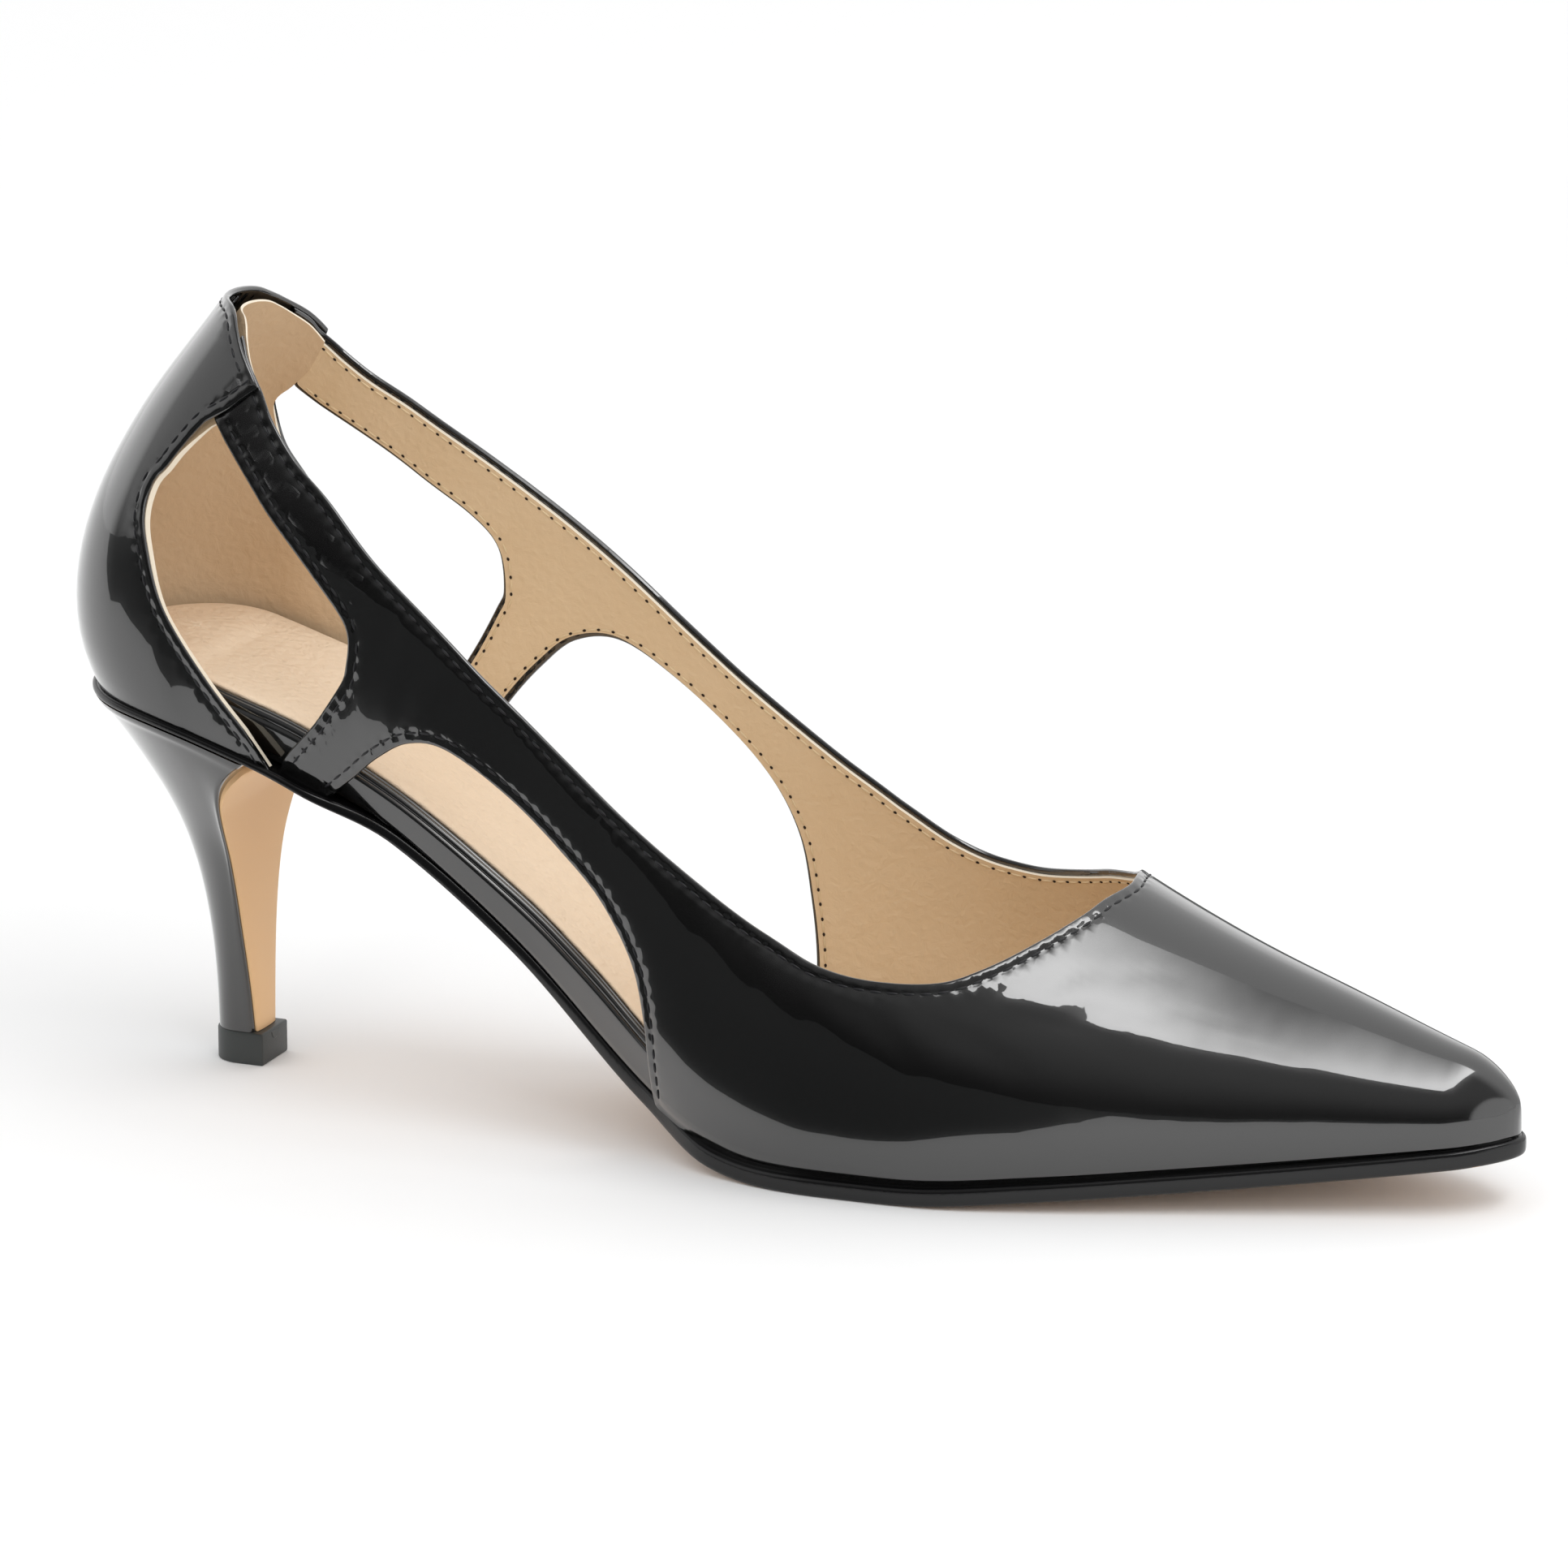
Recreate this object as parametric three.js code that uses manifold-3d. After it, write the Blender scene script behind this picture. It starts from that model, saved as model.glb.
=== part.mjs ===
import * as THREE from "three";
import Module from "manifold-3d";
import { ParametricGeometry } from "three/addons/geometries/ParametricGeometry.js";
import { mergeVertices } from "three/addons/utils/BufferGeometryUtils.js";

// A pointed cut-out pump for the right foot, in millimetres. It is drawn with x from the back of
// the heel to the toe, y towards the big-toe side and z up from the floor, then centred.

// The last that the shoe is made on
const lastLength = 251.6;
const ballWidth = 71;
const ridgeHeight = 84;
const heelRise = 62.7;
const toeSpring = 8.8;
const heelRoundLength = 25;
const toeRoundLength = 9;
const toeBluntness = 0.42;

// The upper and the counter over it
const upperWall = 1.4;
const counterWall = 1.0;

// The bottom of the shoe
const soleThickness = 3;
const shankThickness = 2.1;
const seatThickness = 1.1;
const soleEdge = 0.8;
const insoleThickness = 7;
const insoleToeRoom = 6;
const sockThickness = 1;
const sockMargin = 1.2;

// The heel and its tip
const heelTipLength = 7.8;
const heelTipHalfWidth = 4.7;
const heelTipBack = 24.8;
const heelSeatLength = 37;
const flapThickness = 1.3;
const flapMargin = 1.2;
const topPieceHeight = 5.3;
const topPieceOverhang = 0.3;

// The space between two pieces that touch
const gap = 0.3;

// How finely the curved faces are divided
const lengthSteps = 46;
const heightSteps = 11;
const heelSteps = 16;
const cutSteps = 3;

const { sqrt, max, min, cos, sin, PI, hypot, round } = Math;
const clamp = THREE.MathUtils.clamp;
const floorGap = soleThickness + gap;

// A table's rows as named columns
function columns(names, rows) {
  const entries = names.split(" ").map((name, i) => [name, rows.map((row) => row[i])]);
  return Object.fromEntries(entries);
}

// Lengths along the last are shares of lastLength.
// rise: the feather line's height, as a share of heelRise
const feather = columns("along rise", [
  [0.0, 1.0],
  [0.08, 0.968],
  [0.13, 0.912],
  [0.165, 0.87],
  [0.2, 0.815],
  [0.24, 0.742],
  [0.28, 0.64],
  [0.34, 0.452],
  [0.39, 0.285],
  [0.44, 0.135],
  [0.475, 0.06],
  [0.505, 0.018],
  [0.545, 0.0],
  [1.0, 0.0],
]);

// lift: how far the toe is sprung, as a share of toeSpring
const spring = columns("along lift", [
  [0.0, 0.0],
  [0.62, 0.0],
  [0.72, 0.2],
  [0.86, 0.56],
  [1.0, 1.0],
]);

// height: the ridge above the feather line, as a share of ridgeHeight
const ridge = columns("along height", [
  [0.0, 1.0],
  [0.12, 1.03],
  [0.24, 0.99],
  [0.36, 1.01],
  [0.48, 0.983],
  [0.6, 0.77],
  [0.75, 0.478],
  [0.82, 0.367],
  [0.885, 0.277],
  [0.95, 0.185],
  [1.0, 0.12],
]);

// outer, inner: half widths on the little-toe and big-toe sides, and swing: the shift of the
// middle, as shares of ballWidth. bulge: how much the side swells, as a share of its half width.
// arch: the power of the curve from side to ridge.
const sections = columns("along outer inner swing bulge arch", [
  [0.0, 0.338, 0.338, 0.0, 0.08, 2.0],
  [0.096, 0.324, 0.324, 0.0, 0.1, 2.0],
  [0.18, 0.331, 0.317, 0.0, 0.18, 2.0],
  [0.26, 0.303, 0.275, 0.0, 0.34, 2.0],
  [0.34, 0.289, 0.254, 0.0, 0.45, 2.0],
  [0.42, 0.345, 0.296, 0.0, 0.36, 2.0],
  [0.5, 0.444, 0.394, 0.0, 0.2, 2.0],
  [0.58, 0.5, 0.486, 0.008, 0.15, 1.92],
  [0.64, 0.5, 0.514, 0.014, 0.13, 1.88],
  [0.72, 0.444, 0.479, 0.024, 0.11, 1.82],
  [0.8, 0.345, 0.387, 0.028, 0.1, 1.8],
  [0.88, 0.242, 0.275, 0.028, 0.1, 1.87],
  [0.96, 0.138, 0.155, 0.028, 0.1, 1.95],
  [1.0, 0.078, 0.078, 0.028, 0.1, 2.0],
]);

// setback: how far the back of the heel leans forward, as a share of ridgeHeight like its height
const backCurve = columns("up setback", [
  [0.0, 0.067],
  [0.06, 0.038],
  [0.12, 0.026],
  [0.167, 0.024],
  [0.238, 0.031],
  [0.357, 0.066],
  [0.536, 0.162],
  [0.786, 0.35],
  [1.07, 0.548],
]);

// The pattern's edges, drawn on the last: along is a share of lastLength, and up runs from 0 at
// the feather line to 1 at the ridge. outer is the little-toe side.
const pattern = {
  outer: {
    topline: columns("along up", [
      [0.0, 0.782],
      [0.018, 0.785],
      [0.036, 0.774],
      [0.056, 0.744],
      [0.078, 0.709],
      [0.104, 0.674],
      [0.127, 0.635],
      [0.159, 0.598],
      [0.195, 0.578],
      [0.245, 0.533],
      [0.302, 0.517],
      [0.344, 0.514],
      [0.415, 0.532],
      [0.487, 0.541],
      [0.545, 0.531],
      [0.581, 0.517],
      [0.615, 0.535],
      [0.654, 0.591],
      [0.677, 0.659],
      [0.698, 0.749],
      [0.717, 0.852],
      [0.73, 0.941],
      [0.739, 1.0],
    ]),
    counterTop: columns("along up", [
      [0.0, 0.782],
      [0.018, 0.785],
      [0.036, 0.774],
      [0.056, 0.744],
      [0.078, 0.709],
      [0.105, 0.671],
    ]),
    counterTab: columns("along up", [
      [0.105, 0.671],
      [0.094, 0.623],
      [0.084, 0.592],
      [0.079, 0.576],
    ]),
    counterFront: columns("along up", [
      [0.079, 0.576],
      [0.072, 0.52],
      [0.068, 0.482],
      [0.063, 0.448],
      [0.067, 0.388],
      [0.08, 0.322],
      [0.1, 0.226],
      [0.13, 0.132],
      [0.158, 0.049],
      [0.168, 0.0],
      [0.17, -0.03],
    ]),
    strapUnder: columns("along up", [
      [0.079, 0.6],
      [0.085, 0.589],
      [0.111, 0.549],
      [0.135, 0.513],
      [0.156, 0.483],
      [0.193, 0.442],
      [0.222, 0.402],
      [0.231, 0.37],
      [0.232, 0.314],
      [0.229, 0.271],
      [0.213, 0.172],
      [0.199, 0.107],
      [0.185, 0.052],
      [0.173, 0.005],
      [0.17, -0.03],
    ]),
    vampFront: columns("along up", [
      [0.205, -0.06],
      [0.208, 0.0],
      [0.215, 0.016],
      [0.235, 0.085],
      [0.257, 0.176],
      [0.28, 0.26],
      [0.308, 0.317],
      [0.354, 0.346],
      [0.391, 0.354],
      [0.423, 0.344],
      [0.447, 0.283],
      [0.455, 0.188],
      [0.455, 0.092],
      [0.454, 0.0],
      [0.453, -0.06],
    ]),
  },
  inner: {
    topline: columns("along up", [
      [0.0, 0.782],
      [0.008, 0.772],
      [0.021, 0.753],
      [0.04, 0.726],
      [0.06, 0.701],
      [0.08, 0.672],
      [0.126, 0.638],
      [0.171, 0.63],
      [0.214, 0.631],
      [0.256, 0.628],
      [0.295, 0.632],
      [0.372, 0.655],
      [0.443, 0.648],
      [0.51, 0.618],
      [0.541, 0.586],
      [0.571, 0.55],
      [0.603, 0.547],
      [0.639, 0.591],
      [0.68, 0.704],
      [0.719, 0.859],
      [0.739, 1.0],
    ]),
    counterTop: columns("along up", [
      [0.0, 0.782],
      [0.008, 0.772],
      [0.021, 0.753],
      [0.04, 0.726],
      [0.06, 0.701],
      [0.08, 0.672],
    ]),
    counterTab: columns("along up", [
      [0.08, 0.672],
      [0.083, 0.655],
      [0.08, 0.615],
      [0.071, 0.56],
    ]),
    counterFront: columns("along up", [
      [0.071, 0.56],
      [0.066, 0.54],
      [0.064, 0.52],
      [0.069, 0.49],
      [0.085, 0.424],
      [0.108, 0.372],
      [0.124, 0.33],
      [0.143, 0.22],
      [0.166, 0.1],
      [0.182, 0.0],
      [0.186, -0.03],
    ]),
    strapUnder: columns("along up", [
      [0.069, 0.572],
      [0.075, 0.556],
      [0.098, 0.536],
      [0.143, 0.514],
      [0.187, 0.498],
      [0.226, 0.487],
      [0.249, 0.459],
      [0.257, 0.385],
      [0.254, 0.34],
      [0.242, 0.232],
      [0.225, 0.12],
      [0.205, 0.03],
      [0.196, -0.03],
    ]),
    vampFront: columns("along up", [
      [0.241, -0.06],
      [0.246, 0.0],
      [0.256, 0.09],
      [0.267, 0.165],
      [0.288, 0.29],
      [0.31, 0.399],
      [0.342, 0.484],
      [0.382, 0.515],
      [0.422, 0.507],
      [0.449, 0.466],
      [0.466, 0.388],
      [0.474, 0.275],
      [0.479, 0.168],
      [0.481, 0.06],
      [0.481, -0.06],
    ]),
  },
};

// Where the upper stands back under the counter, as a share of the counter's wall and its gap
const underCounter = columns("along share", [
  [0.0, 1.0],
  [0.19, 1.0],
  [0.3, 0.0],
  [1.0, 0.0],
]);

// insole: its thickness as a share of insoleThickness
const insoleDepth = columns("along share", [
  [0.0, 1.05],
  [0.18, 1.05],
  [0.25, 0.84],
  [0.3, 0.84],
  [0.36, 0.95],
  [0.42, 1.1],
  [0.5, 1.0],
  [0.62, 0.65],
  [0.85, 0.38],
  [1.0, 0.3],
]);

// How the heel grows from its tip, 0, to the seat, 1, with the height up it
const heelShape = columns("up back front side", [
  [0.0, 0.0, 0.0, 0.0],
  [0.15, 0.01, -0.04, 0.05],
  [0.35, 0.07, -0.1, 0.15],
  [0.5, 0.17, -0.12, 0.25],
  [0.62, 0.3, -0.11, 0.37],
  [0.72, 0.45, -0.06, 0.53],
  [0.82, 0.64, 0.05, 0.7],
  [0.92, 0.84, 0.35, 0.87],
  [1.0, 1.0, 1.0, 1.0],
]);

// A smooth curve through a table's rows, flat at its peaks
function curve(xs, ys, x) {
  const last = xs.length - 1;
  const slope = (i) => (ys[i + 1] - ys[i]) / (xs[i + 1] - xs[i]);
  const tangent = (i) => {
    if (i === 0) return slope(0);
    if (i === last) return slope(last - 1);
    const [before, after] = [slope(i - 1), slope(i)];
    if (before * after <= 0) return 0;
    const [h0, h1] = [xs[i] - xs[i - 1], xs[i + 1] - xs[i]];
    return (before * h1 + after * h0) / (h0 + h1);
  };
  const at = clamp(x, xs[0], xs[last]);
  let i = 0;
  while (i < last - 1 && at >= xs[i + 1]) i += 1;
  const h = xs[i + 1] - xs[i];
  const t = (at - xs[i]) / h;
  const [t2, t3] = [t * t, t * t * t];
  const start = (2 * t3 - 3 * t2 + 1) * ys[i] + (t3 - 2 * t2 + t) * h * tangent(i);
  const end = (3 * t2 - 2 * t3) * ys[i + 1] + (t3 - t2) * h * tangent(i + 1);
  return start + end;
}

const featherHeight = (along) =>
  floorGap +
  heelRise * curve(feather.along, feather.rise, along) +
  toeSpring * curve(spring.along, spring.lift, along);

// How much longer a vertical thickness is than the real one, on the slope of the shank
function steepness(along) {
  const step = 0.004;
  const run = 2 * step * lastLength;
  const fall = featherHeight(along + step) - featherHeight(along - step);
  return hypot(1, fall / run);
}

// The round ends of the last in plan: how far round each is, and how much of the width is reached
function ends(along, length = lastLength) {
  const x = along * lastLength;
  const heel = clamp(1 - x / heelRoundLength, 0, 1);
  const toe = clamp(1 - (length - x) / toeRoundLength, 0, 1);
  const tipped = sqrt(1 - toe * toe);
  return { heel, toe, tipped, width: sqrt(1 - heel * heel) * tipped };
}

const sideSign = { outer: -1, inner: 1 };

// How far the heel's back leans forward at a height above the feather line
function lean(along, height) {
  const settled = max(0, 1 - along / 0.6) ** 2;
  return ridgeHeight * curve(backCurve.up, backCurve.setback, height / ridgeHeight) * settled;
}

// A point on the last. offset moves it outwards, along and up are as in the pattern.
function onLast(along, up, side, offset = 0) {
  const end = ends(along);
  const half = ballWidth * curve(sections.along, sections[side], along) + offset;
  const bulge = curve(sections.along, sections.bulge, along);
  const arch = curve(sections.along, sections.arch, along);
  const blunt = toeBluntness + (1 - toeBluntness) * end.tipped;
  const height = ridgeHeight * curve(ridge.along, ridge.height, along) * blunt;
  const rise = (height + offset) * up;
  const reach = (1 - clamp(up, 0, 1) ** arch) ** (1 / arch) + bulge * 4 * max(up, 0) * (1 - up);
  const x = along * lastLength + lean(along, height * up) + offset * (end.toe - end.heel);
  const swing = ballWidth * curve(sections.along, sections.swing, along);
  const y = swing + sideSign[side] * half * end.width * reach;
  return new THREE.Vector3(x, y, featherHeight(along) + rise);
}

const alongSteps = (steps) =>
  Array.from({ length: steps + 1 }, (_, i) => (1 - cos((PI * i) / steps)) / 2);

// A closed geometry through rings that all have the same number of points, each listed clockwise
// as it is seen from the next one
function loft(rings) {
  const around = rings[0].length;
  const rows = rings.length - 1;
  const place = (u, v, target) => target.copy(rings[round(v * rows)].at(-round(u * around) % around));
  return new ParametricGeometry(place, around, rows);
}

const wasm = await Module();
wasm.setup();

// A geometry's solid, for cutting and joining
function solid(geometry) {
  const bare = geometry.index ? geometry.clone() : geometry;
  bare.deleteAttribute("normal");
  bare.deleteAttribute("uv");
  const merged = mergeVertices(bare, 1e-4);
  const corners = merged.index.array;
  const kept = [];
  for (let i = 0; i < corners.length; i += 3) {
    const [a, b, c] = corners.slice(i, i + 3);
    if (a !== b && b !== c && c !== a) kept.push(a, b, c);
  }
  const mesh = new wasm.Mesh({
    numProp: 3,
    vertProperties: merged.attributes.position.array,
    triVerts: new Uint32Array(kept),
  });
  return new wasm.Manifold(mesh);
}

function geometryOf(manifold) {
  const mesh = manifold.getMesh();
  const geometry = new THREE.BufferGeometry();
  geometry.setAttribute("position", new THREE.BufferAttribute(mesh.vertProperties, 3));
  geometry.setIndex(new THREE.BufferAttribute(mesh.triVerts, 1));
  const flat = geometry.toNonIndexed();
  flat.computeVertexNormals();
  return flat;
}

// The whole last as a solid, offset outwards, and reaching below the feather line by a depth
function lastSolid(offsetAt, depth) {
  const ups = Array.from({ length: heightSteps + 1 }, (_, i) => i / heightSteps);
  const downs = [...ups].reverse();
  const rings = alongSteps(lengthSteps).map((along) => {
    const offset = offsetAt(along);
    const outer = ups.map((up) => onLast(along, up, "outer", offset));
    const inner = downs.slice(1).map((up) => onLast(along, up, "inner", offset));
    outer[0].z -= depth;
    inner[inner.length - 1].z -= depth;
    return [...outer, ...inner];
  });
  return solid(loft(rings));
}

// An edge of the pattern, as points on one side of the last seen from the side
function edge(table, side, steps = cutSteps) {
  const points = table.along.map((along, i) => new THREE.Vector2(along, table.up[i]));
  const drawn = new THREE.SplineCurve(points).getPoints(steps * (points.length - 1));
  return drawn.map(({ x, y }) => {
    const { x: across, z } = onLast(x, y, side);
    return new THREE.Vector2(across, z);
  });
}

// A prism through one side of the shoe, from an outline seen from the side
function throughSide(outline, side) {
  const reach = ballWidth;
  const options = { depth: reach, bevelEnabled: false };
  const prism = new THREE.ExtrudeGeometry(new THREE.Shape(outline), options);
  prism.rotateX(PI / 2);
  if (side === "inner") prism.translate(0, reach, 0);
  return solid(prism);
}

const standBack = (along) =>
  (counterWall + gap) * curve(underCounter.along, underCounter.share, along);

// Everything above the topline, from behind the heel to over the throat
function aboveTopline(side) {
  const line = edge(pattern[side].topline, side);
  const [back, throat] = [line[0], line[line.length - 1]];
  const top = ridgeHeight * 2 + heelRise;
  const behind = -lastLength / 4;
  const corners = [
    new THREE.Vector2(throat.x + gap, top),
    new THREE.Vector2(behind, top),
    new THREE.Vector2(behind, back.y),
  ];
  return throughSide([...line, ...corners], side);
}

function backCutOut(side) {
  const under = edge(pattern[side].strapUnder, side);
  const front = edge(pattern[side].counterFront, side).reverse();
  return throughSide([...under, ...front], side);
}

function frontCutOut(side) {
  const line = edge(pattern[side].vampFront, side);
  const below = floorGap + gap;
  const corner = new THREE.Vector2(line[line.length - 1].x, -below);
  return throughSide([...line, corner, new THREE.Vector2(line[0].x, -below)], side);
}

function upper() {
  const outside = lastSolid((along) => -standBack(along), 0);
  const inside = lastSolid((along) => -standBack(along) - upperWall, 2 * soleThickness);
  let shell = outside.subtract(inside);
  for (const side of ["outer", "inner"]) {
    shell = shell.subtract(aboveTopline(side)).subtract(backCutOut(side)).subtract(frontCutOut(side));
  }
  return geometryOf(shell);
}

// The counter's own outline on one side, with everything behind the heel
function counterRegion(side) {
  const { counterTop, counterTab, counterFront } = pattern[side];
  const top = edge(counterTop, side);
  const line = [...top, ...edge(counterTab, side).slice(1), ...edge(counterFront, side).slice(1)];
  const behind = -lastLength / 4;
  const bottom = line[line.length - 1].y - soleThickness;
  const corners = [
    new THREE.Vector2(line[line.length - 1].x, bottom),
    new THREE.Vector2(behind, bottom),
    new THREE.Vector2(behind, top[0].y),
  ];
  return throughSide([...line, ...corners], side);
}

function counter() {
  const shell = lastSolid(() => 0, 0).subtract(lastSolid(() => -counterWall, 2 * soleThickness));
  const region = counterRegion("outer").add(counterRegion("inner"));
  return geometryOf(shell.intersect(region));
}

// A flat layer that follows the bottom of the last. offsetAt gives its outline, topAt and bottomAt
// its faces above the feather line, toeRoom how far it stops short of the toe.
function layer({ offsetAt, bottomAt, topAt, toeRoom = 0, bevel = 0.4 }) {
  const length = lastLength - toeRoom;
  const share = length / lastLength;
  return alongSteps(lengthSteps).map((step) => {
    const along = step * share;
    const end = ends(along, length);
    const offset = offsetAt(along);
    const x = along * lastLength + lean(along, 0) + offset * (end.toe - end.heel);
    const swing = ballWidth * curve(sections.along, sections.swing, along);
    const reach = (side) => (ballWidth * curve(sections.along, sections[side], along) + offset) * end.width;
    const base = featherHeight(along);
    const [bottom, top] = [base + bottomAt(along), base + topAt(along)];
    const corner = min(bevel, (top - bottom) / 3);
    const rim = (side, inset, z) =>
      new THREE.Vector3(x, swing + sideSign[side] * max(reach(side) - inset * end.width, 0), z);
    const up = [[bevel, bottom], [0, bottom + corner], [0, top - corner], [bevel, top]];
    const outer = up.map(([inset, z]) => rim("outer", inset, z));
    const inner = up.reverse().map(([inset, z]) => rim("inner", inset, z));
    return [...outer, ...inner];
  });
}

const soleDepth = columns("along share", [
  [0.0, 0.0],
  [0.16, 0.0],
  [0.22, 0.6],
  [0.3, 1.0],
  [0.42, 1.0],
  [1.0, 1.0],
]);

// The sole's thickness: thin in the heel seat, thicker in the shank, full under the tread
function soleThicknessAt(along) {
  const shank = seatThickness + (shankThickness - seatThickness) * curve(soleDepth.along, soleDepth.share, along);
  const full = clamp((along - 0.33) / 0.13, 0, 1);
  const blend = full * full * (3 - 2 * full);
  return (shank + (soleThickness - shank) * blend) * steepness(along);
}

const soleTop = (along) => -gap * steepness(along);
const soleBottom = (along) => soleTop(along) - soleThicknessAt(along);

// The heel seen from the side: its outline from the tip, 0, to the seat, 1
const seatEnd = heelSeatLength / lastLength;
const alongSeat = (share) => (1 - cos(PI * share * 0.5)) * seatEnd;
const tipZ = topPieceHeight + gap;

function heelPoint(share, side, up) {
  const along = alongSeat(share);
  const end = ends(along);
  const seatX = along * lastLength + lean(along, 0) - soleEdge * 0.5 * end.heel;
  const seatHalf = (ballWidth * curve(sections.along, sections[side], along) + soleEdge * 0.5) * end.width;
  const seatZ = featherHeight(along) + soleBottom(along) - gap;
  const frontness = share ** 2;
  const grow = (name) => curve(heelShape.up, heelShape[name], up);
  const tipX = heelTipBack + heelTipLength * tipRound(share).x;
  const tipHalf = heelTipHalfWidth * tipRound(share).y;
  const slide = grow("back") + (grow("front") - grow("back")) * frontness;
  const x = tipX + (seatX - tipX) * slide;
  const y = tipHalf + (seatHalf - tipHalf) * grow("side");
  return new THREE.Vector3(x, sideSign[side] * y, tipZ + (seatZ - tipZ) * up);
}

// The tip is half round at the back and straight at the sides and front
function tipRound(share) {
  const radius = heelTipHalfWidth / heelTipLength;
  const turn = clamp(share / 0.7, 0, 1);
  const straight = clamp((share - 0.7) / 0.3, 0, 1);
  return {
    x: radius * (1 - cos((turn * PI) / 2)) + (1 - radius) * straight,
    y: sin((turn * PI) / 2),
  };
}

function heelRing(up) {
  const shares = Array.from({ length: 15 }, (_, i) => i / 14);
  const outer = [...shares].reverse().map((share) => heelPoint(share, "outer", up));
  const inner = shares.slice(1).map((share) => heelPoint(share, "inner", up));
  return [...outer, ...inner];
}

const middleOf = (ring) => ring.map((point) => new THREE.Vector3(point.x, 0, point.z));

function heel() {
  const rings = Array.from({ length: heelSteps + 1 }, (_, i) => heelRing(i / heelSteps));
  const [bottom, top] = [rings[0], rings[rings.length - 1]];
  return geometryOf(solid(loft([middleOf(bottom), ...rings, middleOf(top)])));
}

// The sole's flap down the breast of the heel, ending just above the tip
function breastFlap() {
  const corner = (up) => ({ outer: heelPoint(1, "outer", up), inner: heelPoint(1, "inner", up) });
  const rings = Array.from({ length: heelSteps + 1 }, (_, i) => {
    const up = i / heelSteps;
    const here = corner(up);
    const [below, above] = [corner(max(up - 0.02, 0)).outer, corner(min(up + 0.02, 1)).outer];
    const run = hypot(above.x - below.x, above.z - below.z);
    const out = { x: (above.z - below.z) / run, z: -(above.x - below.x) / run };
    const at = (side, depth) => {
      const edgeY = here[side].y - sideSign[side] * flapMargin;
      return new THREE.Vector3(here[side].x + out.x * depth, edgeY, here[side].z + out.z * depth);
    };
    const [near, far] = [gap, gap + flapThickness];
    return [at("outer", near), at("inner", near), at("inner", far), at("outer", far)];
  });
  const rise = rings[rings.length - 1].map((point) => point.clone().setZ(point.z + gap + seatThickness / 2));
  rings.push(rise);
  const hub = (ring) => {
    const middle = ring.reduce((sum, point) => sum.add(point), new THREE.Vector3()).divideScalar(ring.length);
    return ring.map(() => middle);
  };
  return solid(loft([hub(rings[0]), ...rings, hub(rise)]));
}

function outsole() {
  const sheet = solid(loft(layer({ offsetAt: () => soleEdge, bottomAt: soleBottom, topAt: soleTop })));
  return geometryOf(sheet.add(breastFlap()));
}

const insideUpper = (along) => -standBack(along) - upperWall - gap;
const insoleTop = (along) =>
  insoleThickness * curve(insoleDepth.along, insoleDepth.share, along) * steepness(along);

function insole() {
  const rings = layer({
    offsetAt: insideUpper,
    bottomAt: () => 0,
    topAt: insoleTop,
    toeRoom: insoleToeRoom,
    bevel: 1,
  });
  return geometryOf(solid(loft(rings)));
}

function sock() {
  const rings = layer({
    offsetAt: (along) => insideUpper(along) - sockMargin,
    bottomAt: (along) => insoleTop(along) + gap * steepness(along),
    topAt: (along) => insoleTop(along) + (gap + sockThickness) * steepness(along),
    toeRoom: insoleToeRoom + sockMargin,
    bevel: 0.3,
  });
  return geometryOf(solid(loft(rings)));
}

// The tip's outline reaches under the flap as well as the heel
function topPiece() {
  const half = heelTipHalfWidth + topPieceOverhang;
  const back = heelTipBack - topPieceOverhang;
  const front = heelTipBack + heelTipLength + gap + flapThickness + topPieceOverhang;
  const outline = new THREE.Shape();
  outline.moveTo(front, -half);
  outline.lineTo(front, half);
  outline.lineTo(back + half, half);
  outline.absarc(back + half, 0, half, PI / 2, (3 * PI) / 2, false);
  outline.closePath();
  const options = { depth: topPieceHeight, bevelEnabled: false, curveSegments: 16 };
  return geometryOf(solid(new THREE.ExtrudeGeometry(outline, options)));
}

const patent = { color: "#0c0c0d", roughness: 0.12, metalness: 0 };
const looks = {
  upper: patent,
  counter: patent,
  insole: patent,
  sock: { color: "#e6ccb0", roughness: 0.6, metalness: 0 },
  outsole: { color: "#17171a", roughness: 0.35, metalness: 0 },
  heel: patent,
  top_piece: { color: "#2a2d2e", roughness: 0.6, metalness: 0 },
};

const shoe = new THREE.Group();
const makers = { upper, counter, insole, sock, outsole, heel, top_piece: topPiece };
for (const [name, make] of Object.entries(makers)) {
  const piece = new THREE.Mesh(make(), new THREE.MeshStandardMaterial(looks[name]));
  piece.name = name;
  shoe.add(piece);
}

// The origin is under the middle of the shoe, on the floor
const box = new THREE.Box3().setFromObject(shoe);
const middle = box.getCenter(new THREE.Vector3());
shoe.position.set(-middle.x, -middle.y, -box.min.z);

export default shoe;
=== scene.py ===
import math

import bmesh
import bpy
import numpy as np
from mathutils import Matrix, Vector, kdtree


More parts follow.
